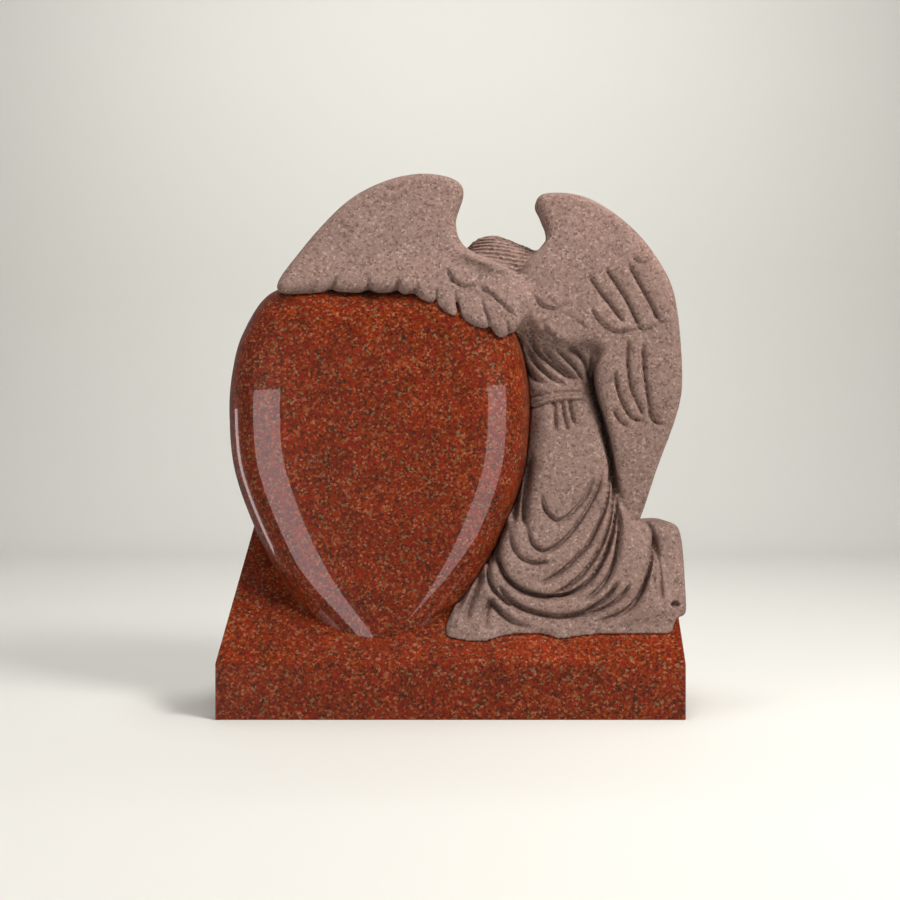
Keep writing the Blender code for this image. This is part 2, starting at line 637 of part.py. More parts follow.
def angel_field(across, depth, up):
    """Signed distance to the whole figure, on three axes of places in shares of its height."""
    flat_x, flat_z = np.meshgrid(across, up, indexing="ij")
    place = (across[:, None, None], depth[None, :, None], up[None, None, :])
    far = place[1]
    left_cut, right_cut = wing_carving(flat_x, flat_z)
    bodice_cut, skirt_cut = cloth_carving(flat_x, flat_z)
    root_start, root_end, root_setback = LEFT_WING_ROOT
    left_cut = left_cut + root_setback * ease((flat_x - root_start) / (root_end - root_start))

    def form(outline, front, back, roll, carving, notches=()):
        within = inside(flat_x, flat_z, outline)
        for (notch_x, notch_z), *_ in notches:
            away = np.hypot(flat_x - notch_x, flat_z - notch_z)
            within = within + NOTCH_DEPTH * np.exp(-((away / NOTCH_REACH) ** 2))
        front = sheet(flat_z, front) + carving
        return slab(far, within, front, sheet(flat_z, back), sheet(flat_z, roll))

    left = form(
        LEFT_WING, LEFT_WING_FRONT, LEFT_WING_BACK, LEFT_WING_ROLL, left_cut, LEFT_WING_GAPS
    )
    right = form(RIGHT_WING, RIGHT_WING_FRONT, RIGHT_WING_BACK, RIGHT_WING_ROLL, right_cut)
    bodice = form(BODICE, BODICE_FRONT, BODICE_BACK, BODICE_ROLL, bodice_cut)
    skirt = form(SKIRT, SKIRT_FRONT, SKIRT_BACK, SKIRT_ROLL, skirt_cut)
    leg = form(LEG, LEG_FRONT, LEG_BACK, LEG_ROLL, skirt_cut)
    body = join(join(bodice, skirt, CLOTH_FILLET), leg, CLOTH_FILLET)

    head = join(egg(place, *SKULL), egg(place, *HAIR), WING_FILLET)
    head = head + hair_strands(place)
    looking = np.array((FACE_FORWARD, FACE_SIDE, FACE_UP))
    for offset, half in FEATURES:
        head = join(head, egg(place, SKULL[0] + offset @ looking, half), CLOTH_FILLET)
    head = join(head, limb(place, *NECK), WING_FILLET)
    arms = egg(place, *HAND)
    for sleeve in SLEEVES:
        arms = join(arms, limb(place, *sleeve), SLEEVE_FILLET)
    body = join(join(body, arms, SLEEVE_FILLET), head, SLEEVE_FILLET)

    tight, loose, low, high = EDGE_FILLET
    fillet = tight + (loose - tight) * ease((place[2] - low) / (high - low))
    return join(join(body, right, fillet), left, WING_FILLET)


def skin(field, axes):
    """The closed surface where the field is zero: a corner in each mixed cell, faces on crossed edges."""
    field = np.pad(field, 1, constant_values=1.0)
    corner = tuple(n - 1 for n in field.shape)
    total = np.zeros(corner + (3,))
    count = np.zeros(corner)
    crossings = []
    for axis in range(3):
        low = [slice(None)] * 3
        high = [slice(None)] * 3
        low[axis], high[axis] = slice(None, -1), slice(1, None)
        a, b = field[tuple(low)], field[tuple(high)]
        where = np.argwhere((a < 0) != (b < 0))
        first, second = a[tuple(where.T)], b[tuple(where.T)]
        spot = where.astype(float)
        spot[:, axis] += first / (first - second)
        others = [k for k in range(3) if k != axis]
        ring = []
        for shift in ((0, 0), (1, 0), (1, 1), (0, 1)):
            cell = where.copy()
            cell[:, others[0]] -= shift[0]
            cell[:, others[1]] -= shift[1]
            np.add.at(total, tuple(cell.T), spot)
            np.add.at(count, tuple(cell.T), 1)
            ring.append(cell)
        flip = (first < 0) == (axis != 1)
        crossings.append((ring, flip))
    used = np.argwhere(count > 0)
    number = np.full(corner, -1)
    number[tuple(used.T)] = np.arange(len(used))
    spots = total[tuple(used.T)] / count[tuple(used.T)][:, None]
    steps = np.array([axis[1] - axis[0] for axis in axes])
    points = (spots - 1) * steps + np.array([axis[0] for axis in axes])
    faces = []
    for ring, flip in crossings:
        quads = np.stack([number[tuple(cell.T)] for cell in ring], axis=1)
        quads[~flip] = quads[~flip][:, ::-1]
        faces.append(quads)
    return points, np.vstack(faces)


def angel_axes(grid):
    """Places to work out, across, behind the front and up, that hold every outline with room around it."""
    outlines = np.vstack([LEFT_WING, RIGHT_WING, BODICE, SKIRT, LEG])
    low, high = outlines.min(axis=0) - GRID_ROOM, outlines.max(axis=0) + GRID_ROOM
    nearest_front = min(depth for height, depth in SKIRT_FRONT + LEFT_WING_FRONT)
    farthest_back = max(depth for height, depth in SKIRT_BACK + BODICE_BACK)
    step = grid / ANGEL_HEIGHT
    return (
        np.arange(low[0], high[0], step),
        np.arange(nearest_front - GRID_ROOM, farthest_back + GRID_ROOM, step),
        np.arange(low[1], high[1], step),
    )


def angel_mesh(name, home, grid):
    axes = angel_axes(grid)
    points, faces = skin(angel_field(*axes), axes)
    points = points * ANGEL_HEIGHT + (ANGEL_X, FRONT, ANGEL_Z)
    return add_object(name, points, faces, home)


def build():
    clear_scene()
    stone_home = collection("heart_headstone", False)
    helpers = collection("cutters", True)
    polished = material("polished_red_granite", (0.22, 0.045, 0.02), 0.12, 0.5)
    honed = material("honed_pink_granite", (0.31, 0.2, 0.165), 0.75, 0.0)

    stone = base_mesh("heart_stone", stone_home, 0)
    edge = stone.modifiers.new("Arris", "BEVEL")
    edge.width = ARRIS
    edge.segments = 1
    edge.limit_method = "ANGLE"
    heart = heart_mesh("heart", helpers, 0, HEART_COLUMNS, HEART_RINGS)
    hide(heart)
    boolean(stone, heart, "UNION")
    stone.data.materials.append(polished)

    angel = angel_mesh("angel", stone_home, GRID)
    even = angel.modifiers.new("Even skin", "REMESH")
    even.mode = "VOXEL"
    even.voxel_size = GRID
    thin = angel.modifiers.new("Facets", "DECIMATE")
    thin.ratio = ANGEL_FACETS / (2 * len(angel.data.polygons))
    for cutter in (
        base_mesh("base_room", helpers, CLEARANCE, OVERHANG_ROOM),
        heart_mesh("heart_room", helpers, CLEARANCE, HEART_COLUMNS, HEART_RINGS),
    ):
        hide(cutter)
        boolean(angel, cutter, "DIFFERENCE")
    angel.data.materials.append(honed)


build()
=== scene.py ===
"""The dressed headstone: fine carving, granite, floor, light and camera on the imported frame."""

import math

import bmesh
import bpy
import numpy as np
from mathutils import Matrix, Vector


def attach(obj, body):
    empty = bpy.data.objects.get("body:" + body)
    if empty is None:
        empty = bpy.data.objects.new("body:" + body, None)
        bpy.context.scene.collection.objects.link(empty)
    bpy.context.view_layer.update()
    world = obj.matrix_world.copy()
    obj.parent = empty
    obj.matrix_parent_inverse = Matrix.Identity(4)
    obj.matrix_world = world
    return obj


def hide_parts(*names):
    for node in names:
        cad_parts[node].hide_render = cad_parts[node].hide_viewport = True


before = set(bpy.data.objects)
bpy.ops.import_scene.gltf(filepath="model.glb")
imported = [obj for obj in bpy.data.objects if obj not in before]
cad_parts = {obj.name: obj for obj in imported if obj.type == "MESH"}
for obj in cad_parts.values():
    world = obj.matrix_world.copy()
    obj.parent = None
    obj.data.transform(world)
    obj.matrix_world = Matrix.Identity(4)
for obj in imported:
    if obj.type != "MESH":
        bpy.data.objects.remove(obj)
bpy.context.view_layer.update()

# Base and heart, in metres as in the solids
BASE_WIDTH = 0.650
BASE_DEPTH = 0.240
BAND_HEIGHT = 0.077
SHOULDER_HEIGHT = 0.262
SLOPE_RUN = 0.174
LEFT_LEAN = 0.028
ARRIS = 0.0015
HEART_WIDTH = 0.438
HEART_HEIGHT = 0.607
HEART_THICKNESS = 0.152
HEART_FOOT = 0.008
HEART_OFF_CENTRE = 0.103
HEART_SETBACK = 0.104
HEART_MIDDLE = 0.62
RIM_REACH = 0.105
RIM_SQUARENESS = 3.4

# Angel: its wing's rise over the heart, its room beside the heart, and its hem's setback and gap
WING_RISE = 0.158
ANGEL_STANDOFF = 0.004
HEM_SETBACK = 0.0263
HEM_GAP = 0.0006

# How finely the polished stone is made up, and from how many degrees on its edges are sharp
HEART_COLUMNS = 288
HEART_RINGS = 30
HEART_PIECES = 24
RAY_STEPS = 120
ARRIS_SEGMENTS = 3
SHARP_ANGLE = 32
FLATNESS = 100
SAME_SPOT = 1e-6

# How finely the angel is worked out, and how many triangles it keeps
GRID = 0.0018
GRID_ROOM = 0.04
MOST_TRIANGLES = 195000
CURVE_PIECES = 6
FIELD_COLUMNS = 96

# Limits that keep every distance finite
MOST_FALL = 4
LEAST_SLOPE = 1e-3
FAR_AWAY = 1e9
TINY = 1e-18

# Scales the carving's widths down and its depths up, since the mesh is finer than the solids
FINE = 0.8
DEEP = 1.7

# Places in metres from the base's middle, and the slope's rise for each metre back
FRONT = -BASE_DEPTH / 2
SLOPE = (SHOULDER_HEIGHT - BAND_HEIGHT) / SLOPE_RUN
HEART_X = -HEART_OFF_CENTRE
HEART_Y = FRONT + HEART_SETBACK
ANGEL_X = HEART_X + HEART_WIDTH / 2 + ANGEL_STANDOFF
ANGEL_Z = BAND_HEIGHT + SLOPE * HEM_SETBACK
ANGEL_HEIGHT = HEART_FOOT + HEART_HEIGHT + WING_RISE - ANGEL_Z

# The photograph: a level camera with a 50 mm lens on a 36 mm sensor, its horizon at the middle row
LENS = 50
SENSOR = 36
PICTURE_SIDE = 900
HORIZON_ROW = 450
FRONT_FOOT_ROW = 720
CENTRE_COLUMN = 450.5
BASE_COLUMNS = (214.5, 685.5)

# Right half of the heart's outline from the notch to the foot, in shares of half width and height
HALF_HEART = [
    (0, 0.985), (0.205, 0.991), (0.46, 1.0), (0.735, 0.974), (0.909, 0.881), (0.979, 0.790),
    (1.0, 0.685), (0.959, 0.543), (0.79, 0.381), (0.59, 0.252), (0.35, 0.141), (0, 0),
]

# The angel's outlines and carving, seen from the front, in shares of its height from its own foot
LEFT_WING = [
    (-0.546, 0.738), (-0.5, 0.831), (-0.412, 0.934), (-0.332, 0.983), (-0.251, 1.003),
    (-0.179, 0.994), (-0.151, 0.963), (-0.168, 0.896), (-0.146, 0.836), (-0.05, 0.785),
    (-0.008, 0.725), (-0.054, 0.641), (-0.11, 0.653), (-0.174, 0.674), (-0.269, 0.729),
    (-0.41, 0.736),
]

RIGHT_WING = [
    (0.029, 0.86), (0.019, 0.905), (0.006, 0.936), (0.024, 0.96), (0.092, 0.959), (0.155, 0.932),
    (0.222, 0.876), (0.275, 0.802), (0.305, 0.725), (0.318, 0.583), (0.312, 0.494), (0.267, 0.361),
    (0.226, 0.241), (0.191, 0.248), (0.187, 0.304), (0.176, 0.379), (0.163, 0.444), (0.141, 0.52),
    (0.134, 0.575), (0.138, 0.624), (0.05, 0.627), (-0.007, 0.672), (-0.028, 0.75), (-0.018, 0.80),
]

BODICE = [
    (-0.036, 0.775), (0.031, 0.79), (0.132, 0.736), (0.16, 0.635), (0.15, 0.521), (0.154, 0.44),
    (-0.004, 0.44), (-0.014, 0.512), (-0.028, 0.61), (-0.055, 0.69), (-0.069, 0.736),
]

SKIRT = [
    (-0.012, 0.556), (0.06, 0.572), (0.14, 0.556), (0.179, 0.412), (0.203, 0.267), (0.266, 0.19),
    (0.302, 0.069), (0.272, -0.03), (0.151, -0.046), (-0.026, -0.046), (-0.2, -0.041),
    (-0.204, -0.002), (-0.145, 0.113), (-0.083, 0.201), (-0.035, 0.334), (-0.014, 0.445),
]

LEG = [
    (0.195, 0.235), (0.252, 0.245), (0.3, 0.243), (0.32, 0.216), (0.324, 0.12), (0.324, 0.03),
    (0.316, -0.03), (0.244, -0.04), (0.159, -0.03), (0.14, 0.08),
]

BELT_TOP = [
    (-0.025, 0.511), (-0.005, 0.515), (0.025, 0.52), (0.058, 0.525), (0.097, 0.526), (0.127, 0.52),
]

BELT_MID = [
    (-0.025, 0.5), (-0.005, 0.504), (0.025, 0.51), (0.058, 0.516), (0.095, 0.518), (0.127, 0.513),
]

BELT_LOW = [
    (-0.025, 0.487), (-0.005, 0.492), (0.025, 0.5), (0.058, 0.507), (0.095, 0.509), (0.127, 0.506),
]

LEFT_WING_GAPS = [
    [(-0.434, 0.739), (-0.42, 0.77)],
    [(-0.355, 0.739), (-0.354, 0.768)],
    [(-0.295, 0.741), (-0.29, 0.768)],
    [(-0.259, 0.728), (-0.249, 0.757)],
    [(-0.213, 0.698), (-0.21, 0.726), (-0.211, 0.746)],
    [(-0.16, 0.676), (-0.164, 0.702), (-0.17, 0.722), (-0.174, 0.741)],
    [(-0.096, 0.652), (-0.102, 0.68), (-0.111, 0.7), (-0.117, 0.737)],
    [(-0.052, 0.639), (-0.06, 0.663), (-0.07, 0.685)],
]

LEFT_WING_SCALLOPS = [
    [(-0.189, 0.787), (-0.176, 0.763), (-0.159, 0.75), (-0.142, 0.746), (-0.123, 0.748)],
    [(-0.117, 0.741), (-0.096, 0.733), (-0.079, 0.717), (-0.062, 0.702), (-0.041, 0.683)],
]

RIGHT_WING_GROOVES = [
    [(0.201, 0.802), (0.23, 0.749), (0.249, 0.714), (0.267, 0.675)],
    [(0.153, 0.789), (0.185, 0.743), (0.206, 0.705), (0.225, 0.662)],
    [(0.117, 0.773), (0.142, 0.738), (0.167, 0.705), (0.19, 0.673)],
]

# Each edge is how strong it is, then its curve
RIGHT_WING_SCALLOPS = [
    (0.8, [(-0.004, 0.734), (0.013, 0.714), (0.03, 0.705), (0.047, 0.703), (0.068, 0.716)]),
    (1, [(0.019, 0.669), (0.032, 0.652), (0.047, 0.637), (0.068, 0.628)]),
    (0.3, [(0.064, 0.69), (0.087, 0.681), (0.102, 0.669), (0.115, 0.656)]),
    (1, [(0.122, 0.705), (0.132, 0.688), (0.147, 0.671), (0.167, 0.658), (0.192, 0.654), (0.222, 0.66)]),
    (0.8, [(0.22, 0.669), (0.233, 0.66), (0.25, 0.662), (0.267, 0.677)]),
    (0.4, [(0.267, 0.677), (0.285, 0.671), (0.302, 0.684)]),
    (0.6, [(0.21, 0.815), (0.223, 0.806), (0.238, 0.804), (0.258, 0.817)]),
    (0.5, [(0.107, 0.632), (0.124, 0.634), (0.141, 0.643)]),
]

RIGHT_WING_LOWER = [
    [(0.201, 0.637), (0.199, 0.605), (0.202, 0.568), (0.208, 0.532), (0.226, 0.493), (0.233, 0.474)],
    [(0.231, 0.626), (0.234, 0.59), (0.238, 0.551), (0.245, 0.508), (0.254, 0.467), (0.278, 0.454)],
    [(0.172, 0.568), (0.176, 0.542), (0.185, 0.512), (0.2, 0.482), (0.215, 0.467), (0.235, 0.463)],
    [(0.17, 0.487), (0.183, 0.465), (0.198, 0.452)],
]

BODICE_FOLDS = [
    [
        (-0.01, 0.656), (0.003, 0.623), (0.018, 0.604), (0.04, 0.585), (0.068, 0.563), (0.096, 0.541),
        (0.122, 0.522),
    ],
    [(0.02, 0.623), (0.049, 0.591), (0.07, 0.574), (0.094, 0.552), (0.122, 0.526)],
    [(0.051, 0.619), (0.077, 0.593), (0.096, 0.572), (0.114, 0.546), (0.125, 0.528)],
    [(-0.016, 0.625), (0.005, 0.591), (0.025, 0.569), (0.049, 0.55), (0.075, 0.535), (0.105, 0.526)],
    [(-0.021, 0.591), (-0.001, 0.561), (0.021, 0.543), (0.049, 0.533), (0.088, 0.526)],
    [(0.074, 0.628), (0.1, 0.606), (0.116, 0.582), (0.125, 0.552)],
]

PLEATS = [
    [(0.044, 0.509), (0.046, 0.476), (0.048, 0.442)],
    [(0.06, 0.509), (0.066, 0.476), (0.072, 0.442)],
    [(0.078, 0.509), (0.081, 0.483), (0.089, 0.455)],
]

# Each swag is how strong it is, then its curve
SWAGS = [
    (0.45, [
        (0.016, 0.304), (0.022, 0.277), (0.035, 0.26), (0.05, 0.251), (0.067, 0.258), (0.088, 0.277),
        (0.11, 0.304), (0.128, 0.349),
    ]),
    (0.55, [
        (-0.017, 0.243), (-0.006, 0.205), (0.01, 0.19), (0.025, 0.188), (0.047, 0.199), (0.072, 0.22),
        (0.096, 0.251), (0.118, 0.285), (0.136, 0.319), (0.146, 0.358),
    ]),
    (0.45, [(-0.053, 0.222), (-0.041, 0.186), (-0.02, 0.167), (0.008, 0.161), (0.031, 0.165)]),
    (0.75, [
        (0.012, 0.119), (0.052, 0.142), (0.086, 0.172), (0.113, 0.201), (0.135, 0.243), (0.153, 0.285),
        (0.162, 0.328), (0.165, 0.362),
    ]),
    (0.8, [
        (0.041, 0.098), (0.069, 0.113), (0.099, 0.138), (0.125, 0.172), (0.145, 0.207), (0.16, 0.251),
        (0.17, 0.298), (0.173, 0.336),
    ]),
    (1.2, [
        (-0.074, 0.209), (-0.077, 0.176), (-0.068, 0.146), (-0.052, 0.123), (-0.024, 0.104),
        (0.01, 0.094), (0.043, 0.092), (0.073, 0.098), (0.103, 0.115), (0.129, 0.142), (0.15, 0.18),
        (0.166, 0.222), (0.176, 0.264), (0.179, 0.298),
    ]),
    (0.8, [(-0.096, 0.184), (-0.098, 0.146), (-0.092, 0.115), (-0.075, 0.092), (-0.05, 0.071)]),
    (1.1, [
        (-0.075, 0.111), (-0.056, 0.088), (-0.033, 0.071), (-0.008, 0.061), (0.02, 0.054),
        (0.052, 0.05), (0.085, 0.055), (0.119, 0.069), (0.149, 0.09), (0.173, 0.119),
    ]),
    (0.7, [(0.064, 0.05), (0.098, 0.052), (0.13, 0.061), (0.157, 0.073), (0.181, 0.092), (0.198, 0.115)]),
    (1.2, [
        (0.255, 0.199), (0.252, 0.167), (0.243, 0.138), (0.23, 0.104), (0.212, 0.075), (0.189, 0.056),
        (0.161, 0.044), (0.132, 0.036),
    ]),
    (1.4, [
        (-0.092, 0.079), (-0.075, 0.061), (-0.054, 0.044), (-0.029, 0.029), (0.001, 0.015),
        (0.034, 0.002),
    ]),
    (0.9, [
        (0.186, 0.266), (0.184, 0.23), (0.178, 0.192), (0.169, 0.157), (0.154, 0.125), (0.132, 0.1),
        (0.107, 0.081),
    ]),
]

FAN_FOLDS = [
    [(-0.109, 0.14), (-0.126, 0.104), (-0.138, 0.073), (-0.149, 0.04)],
    [(-0.098, 0.192), (-0.117, 0.146), (-0.143, 0.104), (-0.168, 0.059)],
    [(-0.09, 0.084), (-0.103, 0.059), (-0.111, 0.021)],
    [(-0.022, 0.39), (-0.028, 0.347), (-0.035, 0.294), (-0.046, 0.243)],
    [(-0.006, 0.39), (-0.013, 0.336), (-0.02, 0.283), (-0.021, 0.235)],
    [(-0.063, 0.251), (-0.081, 0.199), (-0.094, 0.155)],
]

LEG_GROOVES = [
    [(0.241, 0.253), (0.256, 0.226), (0.259, 0.188), (0.256, 0.146), (0.245, 0.111)],
    [(0.26, 0.218), (0.265, 0.176), (0.266, 0.125), (0.267, 0.084)],
]

SIDE_GAP = [
    (0.128, 0.6), (0.13, 0.56), (0.134, 0.52), (0.149, 0.475), (0.157, 0.437), (0.169, 0.375), (0.18, 0.31),
]

ROOT_RIDGE = [
    (-0.157, 0.823), (-0.129, 0.807), (-0.087, 0.791), (-0.055, 0.783), (-0.04, 0.79),
    (-0.022, 0.809), (0.01, 0.829),
]

# How far the hem waves behind the even front, by how far across, and how far up the wave reaches
HEM_LINE = [
    (-0.179, -0.004), (-0.147, -0.008), (-0.107, -0.01), (-0.076, -0.002), (-0.034, 0.004),
    (0.006, 0.004), (0.046, -0.006), (0.082, -0.002), (0.128, 0.004), (0.208, 0.012), (0.25, 0.019),
]
HEM_REACH = 0.07

# How far each form's front and back lie behind the base's front, by height, in shares of the same height
LEFT_WING_FRONT = [(0.64, 0.026), (0.74, 0.048), (0.84, 0.088), (1.0, 0.126)]
LEFT_WING_BACK = [(0.64, 0.2), (0.8, 0.187), (1.0, 0.188)]
RIGHT_WING_FRONT = [(0.24, 0.122), (0.45, 0.098), (0.63, 0.088), (0.8, 0.095), (0.96, 0.13)]
RIGHT_WING_BACK = [(0.24, 0.172), (0.45, 0.165), (0.63, 0.2), (0.8, 0.21), (0.96, 0.194)]
BODICE_FRONT = [(0.44, 0.128), (0.53, 0.122), (0.65, 0.106), (0.75, 0.108), (0.82, 0.13)]
BODICE_BACK = [(0.45, 0.28), (0.65, 0.29), (0.82, 0.26)]
SKIRT_FRONT = [
    (-0.05, 0.041), (0.02, 0.045), (0.1, 0.055), (0.2, 0.072), (0.3, 0.09), (0.42, 0.108), (0.54, 0.124),
]
SKIRT_BACK = [(-0.05, 0.3), (0.2, 0.3), (0.42, 0.29), (0.54, 0.28)]
LEG_FRONT = [(-0.03, 0.066), (0.1, 0.076), (0.2, 0.096), (0.25, 0.12)]
LEG_BACK = [(-0.03, 0.3), (0.25, 0.29)]

# Where the left wing starts to lie back towards its root, where it ends, and how far back it then lies
LEFT_WING_ROOT = (-0.11, -0.01, 0.03)

# How far in from its outline each form starts to round back, by height
LEFT_WING_ROLL = [(0.6, 0.024)]
RIGHT_WING_ROLL = [(0.5, 0.012), (0.8, 0.022)]
BODICE_ROLL = [(0.5, 0.055)]
SKIRT_ROLL = [(0.0, 0.02), (0.25, 0.055)]
LEG_ROLL = [(0.0, 0.016), (0.2, 0.03)]

# Fillets where forms meet; the right wing's goes from tight to loose between two heights
WING_FILLET = 0.025
CLOTH_FILLET = 0.008
SLEEVE_FILLET = 0.012
EDGE_FILLET = (0.004, 0.018, 0.62, 0.72)

# Carving, each as width and depth, and for raised edges as rise and reach
FEATHER_GAP = (0.0038, 0.011)
ROOT_SWELL = (0.014, 0.010)
LONG_GROOVE = (0.0027, 0.016)
FEATHER_EDGE = (0.010, 0.030)
EDGE_CUT = (0.0035, 0.007)
BODICE_FOLD = (0.0040, 0.021)
SWAG_FOLD = (0.0042, 0.030)
SWAG_EDGE = (0.008, 0.016)
FAN_FOLD = (0.007, 0.024)
PLEAT = (0.004, 0.012)
LEG_FOLD = (0.004, 0.014)
BELT_LINE = (0.0034, 0.009)
BELT_SWELL = (0.010, 0.008)
BELT_SQUARENESS = 4
SIDE_CUT = (0.006, 0.040)

# The notch that each feather gap leaves in the left wing's outline
NOTCH_DEPTH = 0.008
NOTCH_REACH = 0.011

# A furrow's narrow core as a share of its depth, and the reach of its flanks in widths
CORE_SHARE = 0.6
FLANK_REACH = 2

# How quickly furrows and edges fade at their ends, what is left there, and how far swags lean
END_FADE = 7
END_LEFT = 0.2
OPEN_FADE = 1.6
EDGE_FADE = 8
SWAG_LEAN = -0.3

# How far corners between depths are rounded, and the most of half a form's depth that its roll may take
SHEET_ROUNDING = 0.06
SHEET_STEPS = 9
MOST_ROLL = 0.95

# How much of the folds is left at the hem, how thin the cloth may get in front of the base,
# and the least depth that a fold keeps there
HEM_CALM = 0.65
LEAST_CLOTH = 0.012
LEAST_ROOM = 0.0024

# Small losses in the stone, and the hollow under the leg's hem as centre and half sizes
CHIP = (0.0022, 0.004)
LEFT_CHIPS = [
    [(-0.321, 0.972), (-0.315, 0.964), (-0.303, 0.962)],
    [(-0.33, 0.94), (-0.31, 0.935), (-0.29, 0.94)],
]
RIGHT_CHIPS = [
    [(0.092, 0.929), (0.106, 0.922), (0.113, 0.93)],
    [(0.128, 0.856), (0.142, 0.851)],
]
LEG_HOLLOW = ((0.294, 0.072, 0.073), (0.016, 0.016, 0.0075))

# Head and arms: centres as across, behind the front and up, then half sizes
SKULL = ((-0.088, 0.222, 0.806), (0.068, 0.076, 0.072))
HAIR = ((-0.045, 0.2, 0.795), (0.078, 0.06, 0.06))
NECK = ((-0.02, 0.2, 0.77), (0.0, 0.2, 0.7), 0.045)
SLEEVES = [
    ((0.02, 0.24, 0.72), (-0.1, 0.245, 0.755), 0.044),
    ((-0.1, 0.245, 0.755), (-0.25, 0.215, 0.745), 0.036),
    ((0.06, 0.27, 0.66), (-0.03, 0.28, 0.72), 0.042),
    ((-0.03, 0.28, 0.72), (-0.19, 0.25, 0.762), 0.036),
]
HAND = ((-0.29, 0.205, 0.752), (0.045, 0.03, 0.018))

# The face looks down and back over the heart: each feature as forward, sideways and up, then half sizes
FACE_FORWARD = (-0.25, 0.85, -0.46)
FACE_SIDE = (0.95, 0.29, 0.0)
FACE_UP = (-0.13, 0.43, 0.89)
FEATURES = [
    ((0.074, 0, -0.006), (0.010, 0.018, 0.018)),
    ((0.062, 0, 0.022), (0.036, 0.014, 0.010)),
    ((0.056, 0.026, -0.018), (0.022, 0.022, 0.022)),
    ((0.056, -0.026, -0.018), (0.022, 0.022, 0.022)),
    ((0.070, 0, -0.030), (0.015, 0.010, 0.006)),
    ((0.058, 0, -0.048), (0.022, 0.020, 0.018)),
]

# Hair: width and depth of a strand, its slant across and back, and where it gives way to the face
STRAND = 0.011
STRAND_DEPTH = 0.0042
STRAND_SLANT = (0.15, 0.3)
HAIRLINE = 0.03
HAIRLINE_FADE = 0.05

# Both granites: grains to the metre, and the noise that shakes their edges
GRAIN_SCALE = 330
WAVER_SCALE = 420
WAVER_DETAIL = 2
CLOUD_DETAIL = 3

# Orange-red feldspar with dark mica and grey-green quartz under a clear polish:
# colours by share of the grains, then the flecks and clouds that shade them
RED_GRANITE = {
    "waver": 0.0022,
    "grains": [
        (0.0, (0.060, 0.017, 0.007)), (0.08, (0.125, 0.018, 0.004)), (0.28, (0.208, 0.015, 0.006)),
        (0.50, (0.225, 0.030, 0.002)), (0.76, (0.275, 0.060, 0.018)), (0.90, (0.320, 0.110, 0.050)),
        (0.96, (0.160, 0.110, 0.052)),
    ],
    "fleck_scale": 640,
    "flecks": [
        (0.0, (0.62, 0.60, 0.60)), (0.13, (0.86, 0.85, 0.84)), (0.45, (1.0, 1.0, 1.0)),
        (0.84, (1.16, 1.22, 1.22)),
    ],
    "cloud_scale": 26,
    "clouds": [(0.32, (0.80, 0.84, 0.88)), (0.70, (1.14, 1.08, 1.05))],
    "surface": {
        "Roughness": 0.32,
        "Specular IOR Level": 0.15,
        "Coat Weight": 0.75,
        "Coat Roughness": 0.025,
        "Coat IOR": 1.5,
    },
}

# The same stone cut and left matte: its tooled skin scatters light, so it reads pale and pinkish
PINK_GRANITE = {
    "waver": 0.0020,
    "grains": [
        (0.0, (0.168, 0.102, 0.084)), (0.10, (0.226, 0.144, 0.120)), (0.32, (0.262, 0.171, 0.142)),
        (0.60, (0.289, 0.192, 0.160)), (0.84, (0.326, 0.224, 0.188)), (0.95, (0.382, 0.276, 0.234)),
    ],
    "fleck_scale": 620,
    "flecks": [
        (0.0, (0.80, 0.78, 0.77)), (0.12, (0.95, 0.95, 0.95)), (0.5, (1.0, 1.0, 1.0)),
        (0.85, (1.06, 1.05, 1.05)),
    ],
    "cloud_scale": 22,
    "clouds": [(0.32, (0.92, 0.93, 0.94)), (0.70, (1.06, 1.04, 1.03))],
    "surface": {
        "Roughness": 0.78,
        "Specular IOR Level": 0.3,
    },
}

# The honed stone's tooled skin
TOOLING_SCALE = 700
TOOLING_DETAIL = 4
TOOLING_STRENGTH = 0.25
TOOLING_DEPTH = 0.0008

# The floor, in metres, and the wall that it curves up into
FLOOR_HALF_WIDTH = 5.0
FLOOR_NEAR = -4.0
FLOOR_FAR = 2.6
FLOOR_BEND = 1.2
FLOOR_BEND_STEPS = 12
WALL_HEIGHT = 4.0
FLOOR_COLOUR = (0.74, 0.73, 0.68)
FLOOR_ROUGHNESS = 0.6

# Sky, then soft boxes by name, place, aim, size, power and colour
SKY_COLOUR = (1.0, 0.98, 0.95)
SKY_STRENGTH = 0.13
WARM = (1, 0.97, 0.95)
WHITE = (1, 1, 1)
PANELS = [
    ("key_light", (1.5, -1.3, 2.0), (0.1, 0, 0.4), (0.8, 0.7), 64, WARM),
    ("fill_light", (-2.2, -1.6, 1.4), (0, 0, 0.35), (1.4, 1.4), 17, WARM),
    ("top_light", (0.1, -0.1, 3.0), (0, 0, 0.3), (1.2, 0.8), 42, WHITE),
    ("wall_light", (0.0, 1.6, 3.2), (0, 3.6, 1.0), (4.0, 0.6), 62, WHITE),
]

# Windows in a ring around the stone: name, degrees round from the front, lean, height, size and power
WINDOW_AWAY = 8
WINDOW_COLOUR = (1.0, 0.84, 0.86)
WINDOWS = [
    ("left_window", -32, -4, -1.45, (5.3, 5.1), 345),
    ("right_window", 37, 5, -1.15, (5.3, 5.1), 285),
    ("side_window", -108, 0, -1.46, (1.8, 4.2), 100),
]


def piece(name, points, faces):
    mesh = bpy.data.meshes.new(name)
    mesh.from_pydata(np.asarray(points).tolist(), [], [list(map(int, f)) for f in faces])
    made = bpy.data.objects.new(name, mesh)
    bpy.context.scene.collection.objects.link(made)
    return made


def settle(thing):
    """Applies a piece's modifiers."""
    graph = bpy.context.evaluated_depsgraph_get()
    mesh = bpy.data.meshes.new_from_object(thing.evaluated_get(graph))
    thing.modifiers.clear()
    thing.data = mesh


